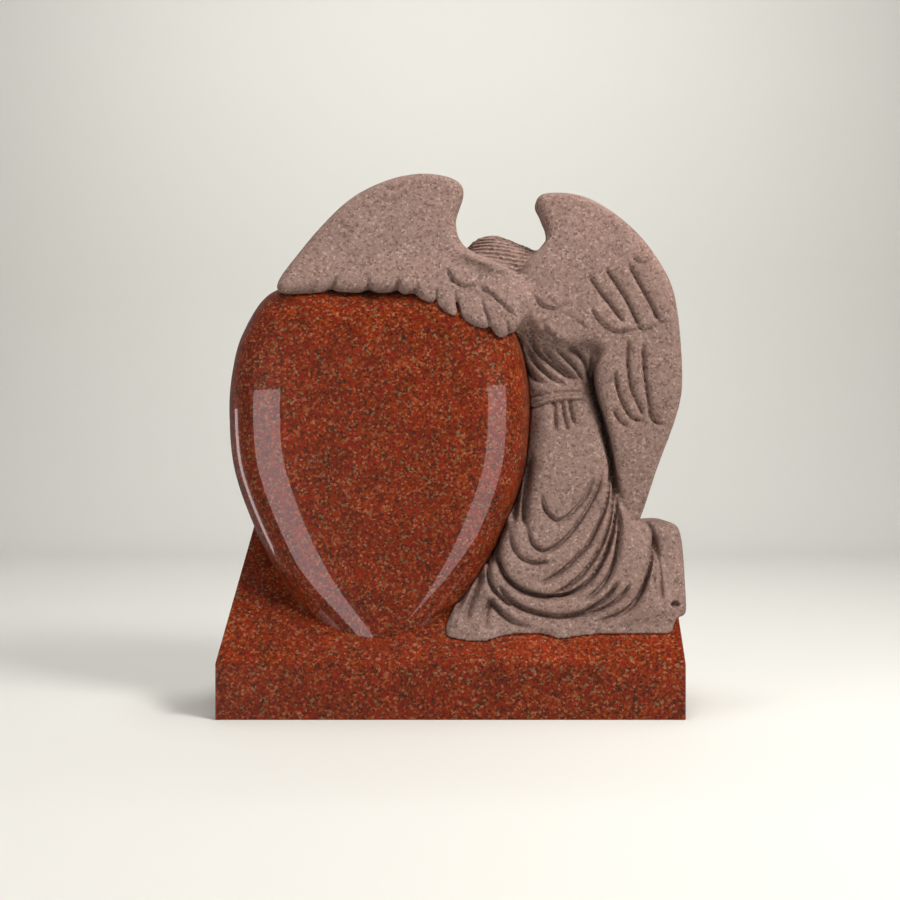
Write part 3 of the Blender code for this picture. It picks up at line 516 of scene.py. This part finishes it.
def catmull(points, closed, pieces):
    """A smooth curve through the points, with this many pieces between each two."""
    points = np.array(points, float)
    count = len(points)
    out = []
    for i in range(count if closed else count - 1):
        if closed:
            a, b, c, d = (points[(i + k) % count] for k in (-1, 0, 1, 2))
        else:
            b, c = points[i], points[i + 1]
            a = points[i - 1] if i else 2 * b - c
            d = points[i + 2] if i + 2 < count else 2 * c - b
        for k in range(pieces):
            t = k / pieces
            out.append(
                0.5
                * (
                    2 * b
                    + (c - a) * t
                    + (2 * a - 5 * b + 4 * c - d) * t**2
                    + (3 * b - 3 * c + d - a) * t**3
                )
            )
    if not closed:
        out.append(points[-1])
    return np.array(out)


def heart_outline(columns):
    """The heart's outline at even steps, as points across and up from its middle line and foot."""
    right = catmull(HALF_HEART, False, HEART_PIECES)
    left = right[::-1][1:-1] * (-1, 1)
    loop = np.vstack([right, left]) * (HEART_WIDTH / 2, HEART_HEIGHT)
    loop = np.vstack([loop, loop[:1]])
    run = np.concatenate([[0], np.cumsum(np.hypot(*np.diff(loop, axis=0).T))])
    at = np.linspace(0, run[-1], columns, endpoint=False)
    return np.stack([np.interp(at, run, loop[:, 0]), np.interp(at, run, loop[:, 1])], axis=1)


def heart_piece():
    """The cushion: rings of the outline from front to back, each drawn in by its own distance."""
    outline = heart_outline(HEART_COLUMNS)
    middle = np.array((0, HEART_MIDDLE * HEART_HEIGHT))
    away = outline - middle
    shares = np.linspace(0, 1, RAY_STEPS)
    rays = middle + away[:, None, :] * shares[None, :, None]
    loop = np.vstack([outline, outline[:1]])
    depth_in = nearest(rays[:, :, 0], rays[:, :, 1], loop)[0]
    half = HEART_THICKNESS / 2
    points, faces = [], []
    turns = np.linspace(math.pi / 2, -math.pi / 2, 2 * HEART_RINGS + 1)
    for turn in turns:
        inset = RIM_REACH * (1 - max(math.cos(turn), 0) ** (2 / RIM_SQUARENESS))
        for j in range(HEART_COLUMNS):
            across, up = middle + away[j] * np.interp(inset, depth_in[j, ::-1], shares[::-1])
            points.append((HEART_X + across, HEART_Y - half * math.sin(turn), HEART_FOOT + up))
    for i in range(len(turns) - 1):
        for j in range(HEART_COLUMNS):
            k = (j + 1) % HEART_COLUMNS
            a, b = i * HEART_COLUMNS, (i + 1) * HEART_COLUMNS
            faces.append((a + j, a + k, b + k, b + j))
    for start, depth in ((0, -half), ((len(turns) - 1) * HEART_COLUMNS, half)):
        points.append((HEART_X, HEART_Y + depth, HEART_FOOT + middle[1]))
        for j in range(HEART_COLUMNS):
            faces.append((len(points) - 1, start + j, start + (j + 1) % HEART_COLUMNS))
    made = piece("heart_form", points, faces)
    shape = bmesh.new()
    shape.from_mesh(made.data)
    bmesh.ops.recalc_face_normals(shape, faces=shape.faces)
    shape.to_mesh(made.data)
    shape.free()
    return made


def base_piece():
    """The base: front band, sloped face and level top, with its left side leaning in above the band."""
    back, left = FRONT + BASE_DEPTH, -BASE_WIDTH / 2
    profile = [
        (FRONT, 0), (FRONT, BAND_HEIGHT), (FRONT + SLOPE_RUN, SHOULDER_HEIGHT),
        (back, SHOULDER_HEIGHT), (back, 0),
    ]
    shape = bmesh.new()
    side = shape.faces.new([shape.verts.new((left, y, z)) for y, z in profile])
    drawn = bmesh.ops.extrude_face_region(shape, geom=[side])["geom"]
    bmesh.ops.translate(
        shape, verts=[v for v in drawn if isinstance(v, bmesh.types.BMVert)], vec=(BASE_WIDTH, 0, 0)
    )
    cut = bmesh.ops.bisect_plane(
        shape,
        geom=shape.verts[:] + shape.edges[:] + shape.faces[:],
        plane_co=(left, 0, BAND_HEIGHT),
        plane_no=(BAND_HEIGHT - SHOULDER_HEIGHT, 0, LEFT_LEAN),
        clear_outer=True,
    )
    bmesh.ops.contextual_create(shape, geom=[e for e in cut["geom_cut"] if isinstance(e, bmesh.types.BMEdge)])
    bmesh.ops.remove_doubles(shape, verts=shape.verts, dist=SAME_SPOT)
    bmesh.ops.recalc_face_normals(shape, faces=shape.faces)
    mesh = bpy.data.meshes.new("polished_stone")
    shape.to_mesh(mesh)
    shape.free()
    made = bpy.data.objects.new("polished_stone", mesh)
    bpy.context.scene.collection.objects.link(made)
    return made


def polished_stone():
    """Heart and base as one block, as the photo shows no seam."""
    stone = base_piece()
    heart = heart_piece()
    edge = stone.modifiers.new("Arris", "BEVEL")
    edge.width = ARRIS
    edge.segments = ARRIS_SEGMENTS
    edge.limit_method = "ANGLE"
    union = stone.modifiers.new("Union", "BOOLEAN")
    union.operation = "UNION"
    union.solver = "EXACT"
    union.object = heart
    settle(stone)
    bpy.data.objects.remove(heart)
    stone.data.shade_smooth()
    stone.data.set_sharp_from_angle(angle=math.radians(SHARP_ANGLE))
    flats = stone.modifiers.new("Flat faces", "WEIGHTED_NORMAL")
    flats.keep_sharp = True
    flats.weight = FLATNESS
    return stone


def stone_field(place):
    """Rough distance to the polished stone, below zero within it, on places in metres."""
    across, depth, up = place
    flat_x, flat_z = np.meshgrid(across.ravel() - HEART_X, up.ravel() - HEART_FOOT, indexing="ij")
    loop = heart_outline(FIELD_COLUMNS)
    loop = np.vstack([loop, loop[:1]])
    gap = nearest(flat_x, flat_z, loop)[0]
    within = np.where(wraps(flat_x, flat_z, loop), gap, -gap)[:, None, :]
    half = HEART_THICKNESS / 2
    away = np.abs(depth - HEART_Y)
    fall = np.clip(1 - within / RIM_REACH, 0, MOST_FALL)
    value = (away / half) ** 2 + fall**RIM_SQUARENESS - 1
    slope_y = 2 * away / half**2
    slope_d = RIM_SQUARENESS / RIM_REACH * fall ** (RIM_SQUARENESS - 1)
    cushion = value / np.sqrt(slope_y**2 + slope_d**2 + LEAST_SLOPE)
    face = (up - BAND_HEIGHT - SLOPE * (depth - FRONT)) / math.hypot(1, SLOPE)
    block = np.maximum(face, up - SHOULDER_HEIGHT)
    return np.minimum(cushion, block)


def nearest(across, up, points):
    """Distance to a curve, how far along it from 0 to 1, and on which side, for every place."""
    best = np.full(across.shape, FAR_AWAY)
    along = np.zeros(across.shape)
    side = np.ones(across.shape)
    total = len(points) - 1
    for i in range(total):
        (ax, az), (bx, bz) = points[i], points[i + 1]
        dx, dz = bx - ax, bz - az
        length = dx * dx + dz * dz + TINY
        share = np.clip(((across - ax) * dx + (up - az) * dz) / length, 0, 1)
        gap = np.hypot(across - ax - share * dx, up - az - share * dz)
        closer = gap < best
        best = np.where(closer, gap, best)
        along = np.where(closer, (i + share) / total, along)
        turn = dx * (up - az) - dz * (across - ax)
        side = np.where(closer, np.where(turn > 0, 1.0, -1.0), side)
    return best, along, side


def wraps(across, up, loop):
    """Whether each place lies within a closed loop."""
    crossings = np.zeros(across.shape, int)
    for (ax, az), (bx, bz) in zip(loop[:-1], loop[1:]):
        spans = (az > up) != (bz > up)
        if az != bz:
            crossings += spans & (across < ax + (up - az) * (bx - ax) / (bz - az))
    return crossings % 2 == 1


def inside(across, up, outline):
    """Signed distance to a closed smooth outline, below zero within it."""
    loop = catmull(outline, True, CURVE_PIECES)
    loop = np.vstack([loop, loop[:1]])
    gap = nearest(across, up, loop)[0]
    return np.where(wraps(across, up, loop), -gap, gap)


def groove(across, up, curve, width, depth, lean=0.0, open_end=False):
    """A furrow along a curve, fading at both ends, or only at its last if the first is open."""
    gap, along, side = nearest(across, up, catmull(curve, False, CURVE_PIECES))
    if open_end:
        fade = np.clip((1 - along) * OPEN_FADE, 0, 1)
    else:
        fade = np.clip(np.minimum(along, 1 - along) * END_FADE + END_LEFT, 0, 1)
    spread = gap / (FINE * width * (1 + lean * side))
    section = CORE_SHARE * np.exp(-(spread**2)) + (1 - CORE_SHARE) * np.exp(-spread / FLANK_REACH)
    return DEEP * depth * fade * section


def lap(across, up, curve, rise, reach):
    """A feather's or fold's edge: raised on the curve's left-hand side, dropping at the curve."""
    gap, along, side = nearest(across, up, catmull(curve, False, CURVE_PIECES))
    fade = np.clip(np.minimum(along, 1 - along) * EDGE_FADE, 0, 1)
    return -rise * fade * np.where(side > 0, 1.0, 0.0) * np.exp(-gap / reach)


def sheet(up, table):
    """Depth by height, with the corners between the table's lines rounded off."""
    heights, depths = zip(*table)
    spread = np.linspace(-SHEET_ROUNDING, SHEET_ROUNDING, SHEET_STEPS)
    return sum(np.interp(up + shift, heights, depths) for shift in spread) / len(spread)


def ease(share):
    """A smooth step from 0 to 1."""
    share = np.clip(share, 0, 1)
    return share * share * (3 - 2 * share)


def slab(depth, within, front, back, roll):
    """A rounded solid between a front and a back sheet, inside an outline."""
    half = (back - front) / 2
    roll = np.minimum(roll, half * MOST_ROLL)
    flat = np.abs(depth - ((front + back) / 2)[:, None, :]) - half[:, None, :]
    roll = roll[:, None, :]
    a = within[:, None, :] + roll
    b = flat + roll
    return np.minimum(np.maximum(a, b), 0) + np.hypot(np.maximum(a, 0), np.maximum(b, 0)) - roll


def egg(place, centre, half):
    """Rough distance to an egg with these half sizes."""
    scaled = [(p - c) / h for p, c, h in zip(place, centre, half)]
    return (np.sqrt(sum(s * s for s in scaled)) - 1) * min(half)


def limb(place, start, end, radius):
    """Distance to a round-ended bar."""
    run = np.subtract(end, start)
    share = sum((p - s) * r for p, s, r in zip(place, start, run)) / float(run @ run)
    share = np.clip(share, 0, 1)
    return np.sqrt(sum((p - s - share * r) ** 2 for p, s, r in zip(place, start, run))) - radius


def join(one, other, blend):
    """The nearer of two forms, with a fillet where they meet."""
    share = np.clip(0.5 + 0.5 * (other - one) / blend, 0, 1)
    return other + (one - other) * share - blend * share * (1 - share)


def hair_strands(place):
    """Shallow waves along the hair, fading out over the face."""
    ahead = sum((p - c) * f for p, c, f in zip(place, SKULL[0], FACE_FORWARD))
    slant = STRAND_SLANT[0] * place[0] + STRAND_SLANT[1] * place[1]
    wave = np.cos(2 * math.pi * (place[2] + slant) / STRAND)
    return STRAND_DEPTH * wave * np.clip((HAIRLINE - ahead) / HAIRLINE_FADE, 0, 1)


def wing_carving(across, up):
    """What is added to each wing's front: gaps and edges of feathers."""
    left = -groove(across, up, ROOT_RIDGE, *ROOT_SWELL)
    for curve in LEFT_WING_GAPS:
        left += groove(across, up, curve, *FEATHER_GAP, open_end=True)
    for curve in LEFT_WING_SCALLOPS:
        left += lap(across, up, curve, *FEATHER_EDGE) + groove(across, up, curve, *EDGE_CUT)
    for curve in LEFT_CHIPS:
        left += groove(across, up, curve, *CHIP)
    right = np.zeros(across.shape)
    for curve in RIGHT_CHIPS:
        right += groove(across, up, curve, *CHIP)
    for curve in RIGHT_WING_GROOVES + RIGHT_WING_LOWER:
        right += groove(across, up, curve, *LONG_GROOVE)
    for strength, curve in RIGHT_WING_SCALLOPS:
        edge = lap(across, up, curve, *FEATHER_EDGE) + groove(across, up, curve, *EDGE_CUT)
        right += strength * edge
    return left, right


def cloth_carving(across, up):
    """What is added to the fronts of the bodice, and of skirt and leg: folds, belt and hem."""
    half, rise = BELT_SWELL
    gap = nearest(across, up, catmull(BELT_MID, False, CURVE_PIECES))[0]
    belt = -rise * np.exp(-((gap / half) ** BELT_SQUARENESS))
    for curve in (BELT_TOP, BELT_MID, BELT_LOW):
        belt += groove(across, up, curve, *BELT_LINE)
    for curve in PLEATS:
        belt += groove(across, up, curve, *PLEAT)
    belt += groove(across, up, SIDE_GAP, *SIDE_CUT)
    bodice = belt.copy()
    for curve in BODICE_FOLDS:
        bodice += groove(across, up, curve, *BODICE_FOLD)
    skirt = np.zeros(across.shape)
    for strength, curve in SWAGS:
        width, depth = SWAG_FOLD
        skirt += groove(across, up, curve, width, strength * depth, SWAG_LEAN)
        rise, reach = SWAG_EDGE
        skirt += lap(across, up, curve, strength * rise, reach)
    for curve in FAN_FOLDS:
        skirt += groove(across, up, curve, *FAN_FOLD)
    for curve in LEG_GROOVES:
        skirt += groove(across, up, curve, *LEG_FOLD)
    skirt = skirt * (HEM_CALM + (1 - HEM_CALM) * ease(up / HEM_REACH))
    skirt += np.interp(across, *zip(*HEM_LINE)) * (1 - ease(up / HEM_REACH))
    stone_behind = (HEM_SETBACK / ANGEL_HEIGHT + up / SLOPE) - sheet(up, SKIRT_FRONT)
    room = np.maximum(stone_behind - LEAST_CLOTH, LEAST_ROOM)
    skirt = np.where(skirt > 0, room * np.tanh(skirt / room), skirt)
    return bodice, skirt + belt


def angel_field(across, depth, up):
    """Signed distance to the whole figure, on three axes of places in shares of its height."""
    flat_x, flat_z = np.meshgrid(across, up, indexing="ij")
    place = (across[:, None, None], depth[None, :, None], up[None, None, :])
    left_cut, right_cut = wing_carving(flat_x, flat_z)
    bodice_cut, skirt_cut = cloth_carving(flat_x, flat_z)
    root_start, root_end, root_setback = LEFT_WING_ROOT
    left_cut = left_cut + root_setback * ease((flat_x - root_start) / (root_end - root_start))

    def form(outline, front, back, roll, carving, notches=()):
        within = inside(flat_x, flat_z, outline)
        for (notch_x, notch_z), *_ in notches:
            away = np.hypot(flat_x - notch_x, flat_z - notch_z)
            within = within + NOTCH_DEPTH * np.exp(-((away / NOTCH_REACH) ** 2))
        front = sheet(flat_z, front) + carving
        return slab(place[1], within, front, sheet(flat_z, back), sheet(flat_z, roll))

    left = form(LEFT_WING, LEFT_WING_FRONT, LEFT_WING_BACK, LEFT_WING_ROLL, left_cut, LEFT_WING_GAPS)
    right = form(RIGHT_WING, RIGHT_WING_FRONT, RIGHT_WING_BACK, RIGHT_WING_ROLL, right_cut)
    bodice = form(BODICE, BODICE_FRONT, BODICE_BACK, BODICE_ROLL, bodice_cut)
    skirt = form(SKIRT, SKIRT_FRONT, SKIRT_BACK, SKIRT_ROLL, skirt_cut)
    leg = form(LEG, LEG_FRONT, LEG_BACK, LEG_ROLL, skirt_cut)
    body = join(join(bodice, skirt, CLOTH_FILLET), leg, CLOTH_FILLET)

    head = join(egg(place, *SKULL), egg(place, *HAIR), WING_FILLET)
    head = head + hair_strands(place)
    looking = np.array((FACE_FORWARD, FACE_SIDE, FACE_UP))
    for offset, half in FEATURES:
        head = join(head, egg(place, SKULL[0] + offset @ looking, half), CLOTH_FILLET)
    head = join(head, limb(place, *NECK), WING_FILLET)
    arms = egg(place, *HAND)
    for sleeve in SLEEVES:
        arms = join(arms, limb(place, *sleeve), SLEEVE_FILLET)
    body = join(join(body, arms, SLEEVE_FILLET), head, SLEEVE_FILLET)
    body = np.maximum(body, -egg(place, *LEG_HOLLOW))

    tight, loose, low, high = EDGE_FILLET
    fillet = tight + (loose - tight) * ease((place[2] - low) / (high - low))
    return join(join(body, right, fillet), left, WING_FILLET)


def skin(field, axes):
    """The closed surface where the field is zero: a corner in each mixed cell, faces on crossed edges."""
    field = np.pad(field, 1, constant_values=1.0)
    corner = tuple(n - 1 for n in field.shape)
    total = np.zeros(corner + (3,))
    count = np.zeros(corner)
    crossings = []
    for axis in range(3):
        low = [slice(None)] * 3
        high = [slice(None)] * 3
        low[axis], high[axis] = slice(None, -1), slice(1, None)
        a, b = field[tuple(low)], field[tuple(high)]
        where = np.argwhere((a < 0) != (b < 0))
        first, second = a[tuple(where.T)], b[tuple(where.T)]
        spot = where.astype(float)
        spot[:, axis] += first / (first - second)
        others = [k for k in range(3) if k != axis]
        ring = []
        for shift in ((0, 0), (1, 0), (1, 1), (0, 1)):
            cell = where.copy()
            cell[:, others[0]] -= shift[0]
            cell[:, others[1]] -= shift[1]
            np.add.at(total, tuple(cell.T), spot)
            np.add.at(count, tuple(cell.T), 1)
            ring.append(cell)
        flip = (first < 0) == (axis != 1)
        crossings.append((ring, flip))
    used = np.argwhere(count > 0)
    number = np.full(corner, -1)
    number[tuple(used.T)] = np.arange(len(used))
    spots = total[tuple(used.T)] / count[tuple(used.T)][:, None]
    steps = np.array([axis[1] - axis[0] for axis in axes])
    points = (spots - 1) * steps + np.array([axis[0] for axis in axes])
    faces = []
    for ring, flip in crossings:
        quads = np.stack([number[tuple(cell.T)] for cell in ring], axis=1)
        quads[~flip] = quads[~flip][:, ::-1]
        faces.append(quads)
    return points, np.vstack(faces)


def angel_axes(grid):
    """Places to work out, across, behind the front and up, that hold every outline with room around it."""
    outlines = np.vstack([LEFT_WING, RIGHT_WING, BODICE, SKIRT, LEG])
    low, high = outlines.min(axis=0) - GRID_ROOM, outlines.max(axis=0) + GRID_ROOM
    nearest_front = min(depth for _, depth in SKIRT_FRONT + LEFT_WING_FRONT)
    farthest_back = max(depth for _, depth in SKIRT_BACK + BODICE_BACK)
    step = grid / ANGEL_HEIGHT
    return (
        np.arange(low[0], high[0], step),
        np.arange(nearest_front - GRID_ROOM, farthest_back + GRID_ROOM, step),
        np.arange(low[1], high[1], step),
    )


def carved_angel():
    """The figure's skin, cut to the polished stone and thinned out to its number of triangles."""
    axes = [axis.astype(np.float32) for axis in angel_axes(GRID)]
    field = angel_field(*axes) * ANGEL_HEIGHT
    place = (
        axes[0][:, None, None] * ANGEL_HEIGHT + ANGEL_X,
        axes[1][None, :, None] * ANGEL_HEIGHT + FRONT,
        axes[2][None, None, :] * ANGEL_HEIGHT + ANGEL_Z,
    )
    field = np.maximum(field, HEM_GAP - stone_field(place))
    points, faces = skin(field, axes)
    angel = piece("carved_angel", points * ANGEL_HEIGHT + (ANGEL_X, FRONT, ANGEL_Z), faces)
    even = angel.modifiers.new("Even skin", "REMESH")
    even.mode = "VOXEL"
    even.voxel_size = GRID
    settle(angel)
    triangles = 2 * len(angel.data.polygons)
    if triangles > MOST_TRIANGLES:
        thin = angel.modifiers.new("Facets", "DECIMATE")
        thin.ratio = MOST_TRIANGLES / triangles
        settle(angel)
    angel.data.shade_smooth()
    return angel


def new_material(name):
    """A material with its nodes, its links and its shader."""
    made = bpy.data.materials.new(name)
    made.use_nodes = True
    nodes = made.node_tree.nodes
    links = made.node_tree.links
    return made, nodes, links, nodes["Principled BSDF"]


def noise(nodes, links, place, scale, detail):
    made = nodes.new("ShaderNodeTexNoise")
    made.inputs["Scale"].default_value = scale
    made.inputs["Detail"].default_value = detail
    links.new(place, made.inputs["Vector"])
    return made.outputs


def shaken(nodes, links, place, waver):
    """Places shaken by noise, so that grains aren't straight-sided."""
    made = nodes.new("ShaderNodeVectorMath")
    made.operation = "MULTIPLY_ADD"
    made.inputs[1].default_value = (waver, waver, waver)
    links.new(noise(nodes, links, place, WAVER_SCALE, WAVER_DETAIL)["Color"], made.inputs[0])
    links.new(place, made.inputs[2])
    return made.outputs[0]


def cells(nodes, links, place, scale):
    """Random channels, each even within its grain."""
    made = nodes.new("ShaderNodeTexVoronoi")
    made.inputs["Scale"].default_value = scale
    links.new(place, made.inputs["Vector"])
    parts = nodes.new("ShaderNodeSeparateColor")
    links.new(made.outputs["Color"], parts.inputs[0])
    return parts.outputs


def ramp(nodes, links, value, stops, interpolation="CONSTANT"):
    """Colours by value, each from its place on."""
    made = nodes.new("ShaderNodeValToRGB")
    made.color_ramp.interpolation = interpolation
    elements = made.color_ramp.elements
    for element, (place, colour) in zip(elements, stops):
        element.position = place
        element.color = (*colour, 1)
    for place, colour in stops[len(elements):]:
        elements.new(place).color = (*colour, 1)
    links.new(value, made.inputs["Fac"])
    return made.outputs["Color"]


def times(nodes, links, one, other):
    """One colour times another."""
    made = nodes.new("ShaderNodeMix")
    made.data_type = "RGBA"
    made.blend_type = "MULTIPLY"
    made.inputs["Factor"].default_value = 1.0
    links.new(one, made.inputs["A"])
    links.new(other, made.inputs["B"])
    return made.outputs["Result"]


def granite(name, kind):
    """Grains of several colours under fine flecks and broad clouds."""
    made, nodes, links, shader = new_material(name)
    place = nodes.new("ShaderNodeTexCoord").outputs["Object"]
    uneven = shaken(nodes, links, place, kind["waver"])
    grain = cells(nodes, links, uneven, GRAIN_SCALE)[0]
    fleck = cells(nodes, links, uneven, kind["fleck_scale"])[1]
    cloud = noise(nodes, links, place, kind["cloud_scale"], CLOUD_DETAIL)["Fac"]
    colour = ramp(nodes, links, grain, kind["grains"])
    colour = times(nodes, links, colour, ramp(nodes, links, fleck, kind["flecks"]))
    colour = times(nodes, links, colour, ramp(nodes, links, cloud, kind["clouds"], "LINEAR"))
    links.new(colour, shader.inputs["Base Color"])
    for socket, value in kind["surface"].items():
        shader.inputs[socket].default_value = value
    return made


def tooled(made):
    """The same material with a finely roughened skin."""
    nodes, links = made.node_tree.nodes, made.node_tree.links
    place = nodes.new("ShaderNodeTexCoord").outputs["Object"]
    bump = nodes.new("ShaderNodeBump")
    bump.inputs["Strength"].default_value = TOOLING_STRENGTH
    bump.inputs["Distance"].default_value = TOOLING_DEPTH
    links.new(noise(nodes, links, place, TOOLING_SCALE, TOOLING_DETAIL)["Fac"], bump.inputs["Height"])
    links.new(bump.outputs["Normal"], nodes["Principled BSDF"].inputs["Normal"])
    return made


def plain_material(name, colour, roughness):
    made, *_, shader = new_material(name)
    shader.inputs["Base Color"].default_value = (*colour, 1)
    shader.inputs["Roughness"].default_value = roughness
    return made


def sweep():
    """A pale floor that curves up into a wall behind the camera's view."""
    rows = [(FLOOR_NEAR, 0.0), (FLOOR_FAR, 0.0)]
    for k in range(1, FLOOR_BEND_STEPS + 1):
        turn = math.radians(90 * k / FLOOR_BEND_STEPS)
        rows.append((FLOOR_FAR + FLOOR_BEND * math.sin(turn), FLOOR_BEND * (1 - math.cos(turn))))
    rows.append((FLOOR_FAR + FLOOR_BEND, WALL_HEIGHT))
    points = [(side * FLOOR_HALF_WIDTH, y, z) for y, z in rows for side in (-1, 1)]
    faces = [(2 * i, 2 * i + 1, 2 * i + 3, 2 * i + 2) for i in range(len(rows) - 1)]
    made = piece("studio_sweep", points, faces)
    made.data.shade_smooth()
    made.data.materials.append(plain_material("pale_floor", FLOOR_COLOUR, FLOOR_ROUGHNESS))
    made.visible_glossy = False


def panel(name, place, aim, size, power, colour):
    """A soft box whose mirror image stays out of the polish."""
    lamp = bpy.data.lights.new(name, "AREA")
    lamp.shape = "RECTANGLE"
    lamp.size, lamp.size_y = size
    lamp.energy = power
    lamp.color = colour
    made = bpy.data.objects.new(name, lamp)
    made.location = place
    made.rotation_euler = (Vector(aim) - Vector(place)).to_track_quat("-Z", "Y").to_euler()
    made.visible_glossy = False
    bpy.context.scene.collection.objects.link(made)
    return made


def window(name, turn, lean, up, size, power):
    """A tall bright sheet that only the polish shows."""
    turn = math.radians(turn)
    middle = (WINDOW_AWAY * math.sin(turn), -WINDOW_AWAY * math.cos(turn), up)
    made = panel(name, middle, (0, 0, up), size, power, WINDOW_COLOUR)
    made.rotation_euler.rotate_axis("Z", math.radians(lean))
    made.visible_glossy = True
    made.visible_camera = False
    made.visible_diffuse = False


def light():
    """The sky, the soft boxes and the windows."""
    world = bpy.data.worlds.new("soft_sky")
    bpy.context.scene.world = world
    world.use_nodes = True
    sky = world.node_tree.nodes["Background"]
    sky.inputs["Color"].default_value = (*SKY_COLOUR, 1)
    sky.inputs["Strength"].default_value = SKY_STRENGTH
    for values in PANELS:
        panel(*values)
    for values in WINDOWS:
        window(*values)


def camera():
    """Stands where the base's front face fills its columns and its foot falls on its row."""
    pixels = LENS / SENSOR * PICTURE_SIDE
    base_pixels = BASE_COLUMNS[1] - BASE_COLUMNS[0]
    distance = pixels * BASE_WIDTH / base_pixels
    height = (FRONT_FOOT_ROW - HORIZON_ROW) * distance / pixels
    aside = (PICTURE_SIDE / 2 - CENTRE_COLUMN) * distance / pixels
    lens = bpy.data.cameras.new("camera")
    lens.lens = LENS
    lens.sensor_width = SENSOR
    made = bpy.data.objects.new("camera", lens)
    made.location = (aside, FRONT - distance, height)
    made.rotation_euler = (math.pi / 2, 0, 0)
    bpy.context.scene.collection.objects.link(made)
    bpy.context.scene.camera = made


camera()
stone = polished_stone()
stone.data.materials.clear()
stone.data.materials.append(granite("polished_red_granite", RED_GRANITE))
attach(stone, "root")
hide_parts("heart_stone")
angel = carved_angel()
angel.data.materials.append(tooled(granite("honed_pink_granite", PINK_GRANITE)))
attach(angel, "root")
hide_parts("angel")
sweep()
light()
bpy.context.scene.view_settings.view_transform = "Standard"
